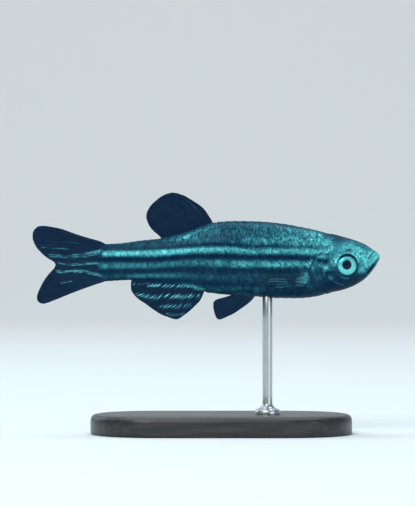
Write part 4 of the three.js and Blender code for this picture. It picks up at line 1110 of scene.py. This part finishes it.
def pectoral_fin(side, material):
    base = [(9.5, -2.5), (9.44, -2.75), (9.44, -3.05), (9.5, -3.35)]
    lead = [(9.5, -2.5), (10.3, -2.24), (11.3, -2.1), (12.6, -2.15), (13.9, -2.32), (15.0, -2.6)]
    margin = [(15.0, -2.6), (15.6, -2.85), (15.86, -3.12), (15.6, -3.42), (15.0, -3.68), (14.2, -3.86)]
    trail = [(9.5, -3.35), (10.2, -3.7), (11.2, -3.95), (12.6, -4.02), (14.2, -3.86)]
    rows, cols = 120, 120
    P = sheet_between(base, lead, margin, trail, rows, cols)
    centres = [0.012] + [0.012 + (k + 1) * (0.975 - 0.012) / 11 for k in range(11)]
    high, much, along = fin_rays(P, centres, [0] + [2] * 8 + [1] * 3, 0.15, fork=(0.45, 0.75))
    P = scalloped(P, much, 0.04)
    r, s = np.linspace(0, 1, rows)[:, None], np.linspace(0, 1, cols)[None, :]
    a, h = P[..., 0], P[..., 1]
    y = paired(a, h, side, (9.3, -3.0, 2.75), 0.0, 0.2)
    y = y + side * (0.12 * np.sin(PI * s) * smooth(0, 0.5, r) - 0.42 * smooth(0.2, 0.0, r) + 0.05 * r * np.sin(2 * PI * 2.3 * s))
    Q = world(a, y, h)
    # fine pale lines along the rays: a fan at the root, then again over the fin's outer half
    pale = np.zeros(a.shape)
    for points, width, gain in PECTORAL_STROKES:
        d, t = beside(a - 0.1, h, px(points), 16)
        pale = np.maximum(pale, gain * bump(d, width) * smooth(0.0, 0.15, t) * smooth(1.0, 0.8, t))
    root = bump(np.hypot((a - 9.9) / 0.75, (h + 2.75) / 0.62), 1.0) + 0.6 * bump(np.hypot((a - 9.75) / 0.25, (h + 3.2) / 0.22), 1.0)
    tone = 0.20 + 0.03 * much + 0.24 * root * (0.7 + 0.5 * speck(s * 18, r * 5, 3.0)) + pale
    solid = np.clip(0.30 + 0.20 * much + 1.5 * pale + 0.35 * root, 0, 1)
    return make_fin("pectoral_fin_rays_" + ("left" if side > 0 else "right"), Q, high, much, tone, material, extra={"solid": solid})


# ------------------------------------------------------------------ eyes
def make_eye(side, material):
    """The eyeball: a low dome with a dark round pupil, a bright ring of iris, and a dark upper rim, partly painted
    shade under the brow.
    """
    turns = 120
    rho = np.r_[np.linspace(0.03, 0.50, 9), np.linspace(0.53, 0.66, 9), np.linspace(0.70, 1.12, 12), np.linspace(1.145, 1.25, 9), np.linspace(1.27, 1.36, 6)]
    t = np.linspace(0.0, -PI / 2 * 0.92, 12)[1:]
    ang = np.arange(turns) * 2 * PI / turns
    # each ring of the mesh has its own middle, so that pupil and iris keep their own
    marks = [0.0, PUPIL_R + 0.07, IRIS_R - 0.14, IRIS_R + 0.03, 1.36]
    mid_a = np.interp(rho, marks, [PUPIL_A, PUPIL_A, IRIS_A, IRIS_A, EYE_A])
    mid_h = np.interp(rho, marks, [PUPIL_H, PUPIL_H, IRIS_H, IRIS_H, EYE_H])
    back_r = EYE_R * np.cos(t) ** (2 / EYE_FULL)
    back_y = EYE_Y - EYE_DEEP * np.abs(np.sin(t)) ** (2 / EYE_FULL)
    n_front = len(rho)
    r_all = np.r_[rho, back_r]
    mid_a, mid_h = np.r_[mid_a, np.full(len(back_r), EYE_A)], np.r_[mid_h, np.full(len(back_r), EYE_H)]
    rows = len(r_all)
    # a fine ripple of the ring's inner and outer edge
    wob = 1 + (0.008 * np.sin(3 * ang + 0.6) + 0.005 * np.sin(7 * ang + 1.1))[None, :] * ((r_all > 0.5) & (r_all < 1.16))[:, None]
    # the ring of the iris is a little squarer above and wider than high
    square = 0.03 * (bump(from_turn(ang, 0.75), 0.4) + bump(from_turn(ang, 2.35), 0.4)) + 0.016 * np.cos(2 * ang)
    wob = wob + square[None, :] * (smooth(0.8, 1.1, r_all) * smooth(1.345, 1.25, r_all))[:, None]
    a = mid_a[:, None] + r_all[:, None] * wob * np.cos(ang)[None, :]
    h = mid_h[:, None] + r_all[:, None] * wob * np.sin(ang)[None, :]
    y = np.empty((rows, turns))
    y[:n_front] = eye_front(a[:n_front], h[:n_front])
    y[n_front:] = back_y[:, None] + EYE_LEAN * (a[n_front:] - EYE_A)
    rr = np.repeat(r_all[:, None], turns, 1)
    isfront = (np.arange(rows) < n_front)[:, None]
    y = y + isfront * (0.03 * (1 - (rr / 0.60) ** 2).clip(0) ** 0.7 - 0.018 * bump(rr - 0.66, 0.07) - 0.02 * bump(rr - IRIS_R - 0.02, 0.05))
    verts = world(a, side * y, h).reshape(-1, 3)
    n = len(verts)
    verts = np.vstack([verts, world(PUPIL_A, side * (float(eye_front(np.array(PUPIL_A), np.array(PUPIL_H))) + 0.03), PUPIL_H), world(EYE_A, side * back_y[-1], EYE_H)])
    body = quads(rows, turns, True)
    j = np.arange(turns)
    k = (j + 1) % turns
    cap0 = np.stack([np.full(turns, n), k, j], -1)
    cap1 = np.stack([np.full(turns, n + 1), (rows - 1) * turns + j, (rows - 1) * turns + k], -1)
    fore = -np.cos(ang)[None, :]     # towards the snout
    above = np.sin(ang)[None, :]
    ring = smooth(PUPIL_R - 0.005, PUPIL_R + 0.03, rr) * smooth(IRIS_R + 0.03, IRIS_R - 0.03, rr)
    rays = speck(ang[None, :] * 9, rr * 2.4, 4.0) * 0.4 + speck(ang[None, :] * 21, rr * 2.0, 4.5) * 0.35 + speck(ang[None, :] * 44, rr * 3.0, 5.0) * 0.25
    # the rim outside the iris takes the surround's tone: dark above, partly the eye's own dark rim and partly painted
    # shade under the brow
    outside = rim_tone(np.repeat(np.arctan2(above, fore), rows, 0))
    tone = np.where(rr < 0.9, 0.085, outside)
    tone = tone * (1 - ring) + 0.86 * ring
    tone = tone - 0.10 * ring * bump(rr - PUPIL_R - 0.03, 0.05) - 0.20 * ring * rays - 0.08 * ring * smooth(0.1, 0.9, above) * (0.5 + rays)
    tone = np.where(isfront, tone, 0.1)
    fields = {
        "tone": np.r_[tone.ravel(), 0.1, 0.1],
        "iris": np.r_[(ring * isfront).ravel(), 0, 0],
    }
    return build("eye_ball_" + ("left" if side > 0 else "right"), verts, [body, cap0, cap1], material, fields)


# ------------------------------------------------------------------ barbels
def make_barbel(name, points, side, material, root_tone, tip_tone):
    p = line([(a, y, h) for a, y, h in points], 40)
    mid = world(p[:, 0], side * p[:, 1], p[:, 2])
    mid = np.vstack([mid[0] + (mid[0] - mid[1]) * 4.0, mid])
    t = np.linspace(0, 1, len(mid))
    radius = 0.024 + 0.056 * (1 - t) ** 1.1
    radius[-1] = 0.012
    d = np.gradient(mid, axis=0)
    d = d / np.linalg.norm(d, axis=1, keepdims=True)
    up = np.array([0.0, 0.0, 1.0])
    u = np.cross(d, up)
    u = u / np.linalg.norm(u, axis=1, keepdims=True)
    v = np.cross(d, u)
    m = 14
    ang = np.arange(m) * 2 * PI / m
    ring = mid[:, None] + radius[:, None, None] * (np.cos(ang)[None, :, None] * u[:, None] + np.sin(ang)[None, :, None] * v[:, None])
    rows = len(mid)
    n = rows * m
    verts = np.vstack([ring.reshape(-1, 3), mid[0], mid[-1] + d[-1] * 0.012])
    j = np.arange(m)
    k = (j + 1) % m
    faces = [quads(rows, m, True), np.stack([np.full(m, n), k, j], -1),
             np.stack([np.full(m, n + 1), (rows - 1) * m + j, (rows - 1) * m + k], -1)]
    tone = np.repeat((root_tone + (tip_tone - root_tone) * t)[:, None], m, 1)
    return build(name, verts, faces, material, {"tone": np.r_[tone.ravel(), root_tone, tip_tone], "ray": np.zeros(n + 2)})


# ------------------------------------------------------------------ the stand
def make_base(material):
    """A flat board with round ends and eased edges, and a shallow groove round its top."""
    length, width, height, x0 = 34.0, 17.0, 2.6, 2.0
    r = width / 2
    inset = [(3.0, 0.0), (0.28, 0.0), (0.10, 0.07), (0.0, 0.24), (0.0, 1.7), (0.03, 1.98), (0.12, 2.22), (0.27, 2.41), (0.47, 2.53),
             (0.7, 2.585), (0.92, 2.6), (1.42, 2.6), (1.47, 2.585), (1.50, 2.555), (1.56, 2.535), (1.62, 2.555), (1.65, 2.585), (1.70, 2.6), (3.0, 2.6)]
    n = 96
    ang = np.linspace(-PI / 2, PI / 2, n // 2)
    straight = length / 2 - r
    rings = []
    for d, z in inset:
        q = r - d
        right = np.stack([x0 + straight + q * np.cos(ang), q * np.sin(ang)], -1)
        left = np.stack([x0 - straight - q * np.cos(ang), -q * np.sin(ang)], -1)
        xy = np.vstack([right, left])
        rings.append(np.c_[xy, np.full(len(xy), z)])
    P = np.stack(rings)
    rows, m = P.shape[:2]
    # inwards to the middle line on both faces
    spine = lambda z: np.c_[np.clip(P[0, :, 0], x0 - straight, x0 + straight), np.zeros(m), np.full(m, z)]
    low = [P[0] * (1 - f) + spine(0.0) * f for f in (0.97, 0.5)]
    high = [P[-1] * (1 - f) + spine(height) * f for f in (0.5, 0.97)]
    P = np.stack(low + rings + high)
    rows = len(P)
    verts = P.reshape(-1, 3)
    faces = [quads(rows, m, True)]
    # the narrow slot left at the middle is closed by quads between its two long sides
    half = m // 2
    for at, flip in ((0, False), ((rows - 1) * m, True)):
        f = []
        for i in range(m // 2 - 1):
            a, b, c, d = at + i, at + i + 1, at + m - 2 - i, at + m - 1 - i
            f.append((a, b, c, d) if flip else (d, c, b, a))
        faces.append(np.array(f))
    obj = build("stand_board", verts, faces, material)
    return obj


def make_rod(material):
    """The rod, with a low collar where it stands in the board."""
    r, x, top = 0.65, 8.0, 19.4
    profile = [(0.0, 2.3), (1.45, 2.3), (1.62, 2.42), (1.68, 2.62), (1.66, 2.95), (1.56, 3.16), (1.30, 3.30), (1.05, 3.38), (0.90, 3.50), (0.80, 3.66),
               (0.70, 3.76), (r, 3.9), (r, 5.0), (r, 10.0), (r, 15.0), (r, top - 0.1), (r - 0.1, top), (0.0, top)]
    m = 64
    ang = np.arange(m) * 2 * PI / m
    inner = [p for p in profile if p[0] > 0]
    ring = np.stack([np.c_[x + q * np.cos(ang), q * np.sin(ang), np.full(m, z)] for q, z in inner])
    rows = len(inner)
    n = rows * m
    verts = np.vstack([ring.reshape(-1, 3), [x, 0, profile[0][1]], [x, 0, profile[-1][1]]])
    j = np.arange(m)
    k = (j + 1) % m
    faces = [quads(rows, m, True), np.stack([np.full(m, n), k, j], -1), np.stack([np.full(m, n + 1), (rows - 1) * m + j, (rows - 1) * m + k], -1)]
    return build("stand_post", verts, faces, material)


# ------------------------------------------------------------------ materials
# The picture's two-ended colours: brightness from 0 to 1, and the colour there in display values.
PALETTE = [
    (0.00, (0, 8, 20)), (0.07, (1, 20, 38)), (0.106, (3, 31, 54)), (0.165, (9, 42, 66)), (0.224, (18, 59, 80)), (0.282, (27, 77, 95)),
    (0.341, (36, 95, 111)), (0.40, (47, 113, 127)), (0.459, (58, 131, 143)), (0.518, (68, 149, 158)), (0.576, (77, 168, 174)),
    (0.635, (87, 185, 189)), (0.694, (97, 202, 204)), (0.753, (109, 219, 219)), (0.812, (120, 231, 230)), (1.0, (190, 248, 245)),
]


FIN_PALETTE = [
    (0.00, (3, 7, 20)), (0.07, (7, 19, 37)), (0.106, (12, 29, 52)), (0.165, (19, 39, 64)), (0.224, (27, 56, 78)), (0.282, (37, 74, 94)),
    (0.341, (47, 92, 110)), (0.40, (57, 109, 125)), (0.459, (66, 127, 141)), (0.518, (74, 146, 156)), (0.576, (81, 166, 172)),
] + PALETTE[11:]


def linear(c):
    c = c / 255.0
    return c / 12.92 if c <= 0.04045 else ((c + 0.055) / 1.055) ** 2.4


class Graph:
    """A material's nodes, added one by one; numbers may stand wherever a socket may."""

    def __init__(self, name):
        self.mat = bpy.data.materials.new(name)
        self.mat.use_nodes = True
        self.nodes, self.links = self.mat.node_tree.nodes, self.mat.node_tree.links
        self.shader = self.nodes["Principled BSDF"]

    def put(self, socket, value):
        if hasattr(value, "is_output") or hasattr(value, "links"):
            self.links.new(value, socket)
        else:
            socket.default_value = value

    def math(self, kind, *values, clamp=False):
        n = self.nodes.new("ShaderNodeMath")
        n.operation = kind
        n.use_clamp = clamp
        for k, v in enumerate(values):
            self.put(n.inputs[k], v)
        return n.outputs[0]

    def add(self, a, b):
        return self.math("ADD", a, b)

    def mul(self, a, b):
        return self.math("MULTIPLY", a, b)

    def ramp_between(self, value, lo, hi, out_lo=0.0, out_hi=1.0, smooth_step=True):
        n = self.nodes.new("ShaderNodeMapRange")
        n.interpolation_type = "SMOOTHSTEP" if smooth_step else "LINEAR"
        for k, v in enumerate((value, lo, hi, out_lo, out_hi)):
            self.put(n.inputs[k], v)
        return n.outputs[0]

    def field(self, name):
        n = self.nodes.new("ShaderNodeAttribute")
        n.attribute_name = name
        return n.outputs["Fac"]

    def place(self, scale=(1000.0, 1000.0, 1000.0)):
        """The place on the object, in millimetres."""
        c = self.nodes.new("ShaderNodeTexCoord")
        m = self.nodes.new("ShaderNodeMapping")
        m.inputs["Scale"].default_value = scale
        self.links.new(c.outputs["Object"], m.inputs["Vector"])
        return m.outputs[0]

    def noise(self, at, scale, detail=2.0, rough=0.5):
        n = self.nodes.new("ShaderNodeTexNoise")
        self.links.new(at, n.inputs["Vector"])
        n.inputs["Scale"].default_value = scale
        n.inputs["Detail"].default_value = detail
        n.inputs["Roughness"].default_value = rough
        return n.outputs["Fac"]

    def cells(self, at, scale, feature="F1", out="Distance"):
        n = self.nodes.new("ShaderNodeTexVoronoi")
        n.feature = feature
        self.links.new(at, n.inputs["Vector"])
        n.inputs["Scale"].default_value = scale
        return n.outputs[out]

    def patches(self, at, scale):
        """Soft-edged patches, each of its own brightness from 0 to 1."""
        n = self.nodes.new("ShaderNodeTexVoronoi")
        n.feature = "SMOOTH_F1"
        self.links.new(at, n.inputs["Vector"])
        n.inputs["Scale"].default_value = scale
        n.inputs["Smoothness"].default_value = 0.35
        part = self.nodes.new("ShaderNodeSeparateColor")
        self.links.new(n.outputs["Color"], part.inputs[0])
        return part.outputs[0]

    def palette(self, value, table=PALETTE):
        n = self.nodes.new("ShaderNodeValToRGB")
        e = n.color_ramp.elements
        while len(e) < len(table):
            e.new(0.5)
        for k, (at, rgb) in enumerate(table):
            e[k].position = at
            e[k].color = [linear(c) for c in rgb] + [1.0]
        self.put(n.inputs[0], value)
        return n.outputs[0]

    def blend(self, amount, a, b):
        n = self.nodes.new("ShaderNodeMix")
        n.data_type = "RGBA"
        self.put(n.inputs["Factor"], amount)
        self.put(n.inputs["A"], a)
        self.put(n.inputs["B"], b)
        return n.outputs["Result"]

    def bump(self, height, depth_mm, strength=1.0):
        n = self.nodes.new("ShaderNodeBump")
        n.inputs["Strength"].default_value = strength
        n.inputs["Distance"].default_value = depth_mm * MM
        self.links.new(height, n.inputs["Height"])
        self.links.new(n.outputs[0], self.shader.inputs["Normal"])

    def set(self, **values):
        for key, value in values.items():
            self.put(self.shader.inputs[key.replace("_", " ")], value)


def skin_material(name, scales):
    g = Graph(name)
    at = g.place()
    tone, rnd, edge, streak = g.field("tone"), g.field("rnd"), g.field("edge"), g.field("streak")
    # flecks: rounder on the sides and the head, upright streaks on the back
    flecks = g.add(g.mul(g.ramp_between(g.noise(g.place((1000.0, 1000.0, 700.0)), 5.4, 2.0, 0.6), 0.34, 0.66), 0.45),
                   g.mul(g.patches(g.place((1000.0, 1000.0, 760.0)), 5.0), 0.55))
    streaks = g.add(g.mul(g.ramp_between(g.noise(g.place((1000.0, 1000.0, 330.0)), 5.0, 2.0, 0.6), 0.35, 0.65), 0.5),
                    g.mul(g.patches(g.place((1000.0, 1000.0, 420.0)), 4.8), 0.5))
    fleck = g.add(g.mul(flecks, g.math("SUBTRACT", 1.0, streak)), g.mul(streaks, streak))
    grain = g.noise(at, 9.0, 1.5, 0.5)
    broad = g.noise(at, 0.9, 2.0, 0.5)
    # pigment cells: small dark dots in the light parts
    dot = g.ramp_between(g.cells(at, 7.0), 0.08, 0.26, 1.0, 0.0)
    amount = g.mul(g.ramp_between(tone, 0.12, 0.40, 0.46, 1.0), g.add(1.0, g.mul(g.field("calm"), -0.6)))
    amount = g.mul(amount, g.add(1.0, g.mul(streak, 0.05)))
    t = g.mul(tone, g.add(1.0, g.mul(amount, g.mul(g.add(fleck, -0.5), 0.74))))
    t = g.mul(t, g.add(1.0, g.mul(g.add(grain, -0.5), 0.55)))
    t = g.mul(t, g.add(1.0, g.mul(g.add(broad, -0.5), 0.25)))
    # longer upright streaks over the fine ones
    long = g.add(g.ramp_between(g.noise(g.place((1000.0, 1000.0, 240.0)), 3.7, 1.0, 0.5), 0.34, 0.66), -0.5)
    t = g.mul(t, g.add(1.0, g.mul(long, g.mul(streak, 0.34))))
    t = g.mul(t, g.add(1.0, g.mul(dot, g.mul(amount, -0.30))))
    if scales:
        t = g.mul(t, g.add(1.0, g.mul(g.add(rnd, -0.5), 0.22)))
        t = g.mul(t, g.add(1.0, g.mul(edge, -0.14)))
    g.set(Base_Color=g.palette(t), Metallic=g.ramp_between(t, 0.3, 0.8, 0.0, 0.35),
          Roughness=g.add(0.33, g.mul(grain, 0.18)), Coat_Weight=0.03, Coat_Roughness=0.08, IOR=1.42, Specular_IOR_Level=0.10,
          Specular_Tint=[0.4, 0.85, 1.0, 1.0])
    height = g.add(g.mul(grain, 0.5), g.mul(g.noise(at, 24.0, 2.0, 0.6), 0.5))
    g.bump(height, 0.014 if scales else 0.018, 0.6)
    return g.mat


def fin_material(name, clear=False):
    g = Graph(name)
    at = g.place()
    tone, ray = g.field("tone"), g.field("ray")
    grain = g.noise(at, 8.0, 2.0, 0.6)
    t = g.mul(tone, g.add(1.0, g.mul(g.add(grain, -0.5), 0.55)))
    g.set(Base_Color=g.palette(t, FIN_PALETTE), Roughness=g.add(0.42, g.mul(grain, 0.2)), Metallic=g.ramp_between(t, 0.3, 0.7, 0.0, 0.2),
          Coat_Weight=0.01, Coat_Roughness=0.15, IOR=1.4, Specular_IOR_Level=0.1, Specular_Tint=[0.4, 0.85, 1.0, 1.0])
    if clear:
        g.set(Alpha=g.field("solid"))
    g.bump(g.add(g.mul(grain, 0.6), g.mul(ray, 0.2)), 0.012, 0.5)
    return g.mat


def eye_material():
    g = Graph("eye_wet")
    at = g.place()
    tone, iris = g.field("tone"), g.field("iris")
    grain = g.noise(at, 9.0, 2.0, 0.6)
    t = g.mul(tone, g.add(1.0, g.mul(g.mul(g.add(grain, -0.5), 0.25), iris)))
    g.set(Base_Color=g.palette(t), Metallic=g.mul(iris, 0.45), Roughness=g.add(0.12, g.mul(iris, 0.2)), Coat_Weight=0.25, Coat_Roughness=0.04, IOR=1.38, Specular_IOR_Level=0.1)
    g.bump(grain, 0.006, 0.4)
    return g.mat


def wood_material():
    g = Graph("stand_wood")
    along = g.place((60.0, 1000.0, 1000.0))
    at = g.place()
    grain = g.noise(along, 1.6, 5.0, 0.62)
    pores = g.ramp_between(g.noise(g.place((150.0, 1000.0, 1000.0)), 5.5, 2.0, 0.5), 0.60, 0.74)
    dark, light = [linear(c) for c in (24, 23, 26)] + [1.0], [linear(c) for c in (54, 50, 50)] + [1.0]
    colour = g.blend(g.ramp_between(grain, 0.35, 0.7), dark, light)
    colour = g.blend(g.mul(pores, 0.6), colour, [linear(c) for c in (12, 11, 13)] + [1.0])
    g.set(Base_Color=colour, Roughness=g.add(0.34, g.mul(grain, 0.16)), Coat_Weight=0.25, Coat_Roughness=0.25, IOR=1.48)
    g.bump(g.add(g.mul(grain, 0.6), g.mul(pores, -0.8)), 0.02, 0.6)
    return g.mat


def steel_material():
    g = Graph("stand_steel")
    brush = g.noise(g.place((1000.0, 1000.0, 30.0)), 6.0, 3.0, 0.6)
    g.set(Base_Color=[0.62, 0.64, 0.66, 1.0], Metallic=1.0, Roughness=g.add(0.20, g.mul(brush, 0.16)))
    g.bump(brush, 0.004, 0.4)
    return g.mat


# ------------------------------------------------------------------ making it all
def ready(piece, slot, *nodes):
    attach(piece, "root")
    if nodes:
        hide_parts(*nodes)
    return piece


skin_look = skin_material("fish_skin", False)
scale_look = skin_material("fish_scales", True)
fin_look = fin_material("fish_fin")
clear_look = fin_material("fish_clear_fin", True)
barbel_look = fin_material("fish_barbel")
eye_look = eye_material()

ready(make_skin(skin_look), "skin", "head", "lower_jaw", "gill_cover_right", "gill_cover_left", "trunk", "tail")
left_roots, right_roots, middle_roots = scale_roots()
ready(make_scales("scales_left", left_roots, scale_look, np.random.default_rng(11)), "skin")
ready(make_scales("scales_right", right_roots, scale_look, np.random.default_rng(12)), "skin")
ready(make_scales("scales_middle", middle_roots, scale_look, np.random.default_rng(13)), "skin")

ready(dorsal_fin(fin_look), "fin", "dorsal_fin")
ready(anal_fin(fin_look), "fin", "anal_fin")
ready(tail_fin(fin_look), "fin", "tail_fin_upper", "tail_fin_lower")
LIP_BARBEL = [(0.72, 1.0, 0.15), (0.95, 1.4, -0.1), (1.35, 1.76, -0.6), (1.75, 2.0, -1.15)]
MOUTH_BARBEL = [(2.05, 1.2, -2.3), (2.7, 1.62, -2.78), (3.8, 1.98, -3.22), (5.0, 2.2, -3.45)]
for side, word in ((-1, "right"), (1, "left")):
    ready(pelvic_fin(side, fin_look), "fin", "pelvic_fin_" + word)
    ready(pectoral_fin(side, clear_look), "clear_fin", "pectoral_fin_" + word)
    ready(make_eye(side, eye_look), "eye", "eye_" + word)
    ready(make_barbel("lip_feeler_" + word, LIP_BARBEL, side, barbel_look, 0.56, 0.46), "barbel", "barbel_lip_" + word)
    ready(make_barbel("mouth_feeler_" + word, MOUTH_BARBEL, side, barbel_look, 0.24, 0.20), "barbel", "barbel_mouth_" + word)
ready(make_base(wood_material()), "stand_base", "stand_base")
ready(make_rod(steel_material()), "stand_rod", "stand_rod")


# ------------------------------------------------------------------ floor, light and camera
def make_floor():
    """A pale floor that curves up into a backdrop far behind."""
    profile = [(-2.6, 0.0), (-0.6, 0.0), (0.6, 0.0)]
    for k in range(1, 33):
        t = k / 32 * PI / 2
        profile.append((0.6 + 0.5 * math.sin(t), 0.5 * (1 - math.cos(t))))
    profile += [(1.1, 0.9), (1.1, 2.4)]
    verts, faces = [], []
    for y, z in profile:
        for x in (-2.5, 2.5):
            verts.append((x, y, z))
    for k in range(len(profile) - 1):
        faces.append((2 * k, 2 * k + 1, 2 * k + 3, 2 * k + 2))
    mesh = bpy.data.meshes.new("studio_floor")
    mesh.from_pydata(verts, [], faces)
    mesh.polygons.foreach_set("use_smooth", [True] * len(faces))
    obj = bpy.data.objects.new("studio_floor", mesh)
    bpy.context.scene.collection.objects.link(obj)
    g = Graph("studio_pale")
    g.set(Base_Color=[0.74, 0.76, 0.77, 1.0], Roughness=0.85)
    mesh.materials.append(g.mat)


def area_light(name, place, target, size, power, colour=(1, 1, 1)):
    data = bpy.data.lights.new(name, "AREA")
    data.shape = "RECTANGLE"
    data.size, data.size_y = size
    data.energy = power
    data.color = colour
    obj = bpy.data.objects.new(name, data)
    bpy.context.scene.collection.objects.link(obj)
    obj.location = place
    obj.rotation_euler = (Vector(target) - Vector(place)).to_track_quat("-Z", "Y").to_euler()
    return obj


make_floor()
centre = (0.0, 0.0, 0.023)
area_light("key", (-0.16, -0.34, 0.36), centre, (0.26, 0.26), 1.36, (0.93, 0.98, 1.0))
area_light("fill", (0.40, -0.42, 0.14), centre, (0.34, 0.34), 0.5, (0.85, 0.96, 1.0))
area_light("over", (0.0, 0.06, 0.46), centre, (0.5, 0.3), 0.8, (0.70, 0.92, 1.0))
area_light("back_left", (-0.34, 0.26, 0.22), centre, (0.2, 0.26), 0.3, (0.62, 0.90, 1.0))
area_light("backdrop", (0.0, 0.25, 1.15), (0.0, 0.85, 0.1), (1.4, 0.5), 8.6, (1.0, 0.99, 0.98))

studio = bpy.data.worlds.new("studio")
studio.use_nodes = True
studio.node_tree.nodes["Background"].inputs["Color"].default_value = (0.74, 0.91, 1.0, 1.0)
studio.node_tree.nodes["Background"].inputs["Strength"].default_value = 0.28
bpy.context.scene.world = studio

camera_data = bpy.data.cameras.new("camera")
camera_data.lens = 200.0
camera_data.sensor_width = 36.0
camera_data.clip_start = 0.01
camera_data.clip_end = 20.0
camera = bpy.data.objects.new("camera", camera_data)
camera.location = (0.000208, -0.36544, 0.02352)
camera.rotation_euler = (PI / 2, 0.0, 0.0)
bpy.context.scene.collection.objects.link(camera)
bpy.context.scene.camera = camera

bpy.context.scene.view_settings.view_transform = "Standard"
bpy.context.scene.view_settings.look = "None"
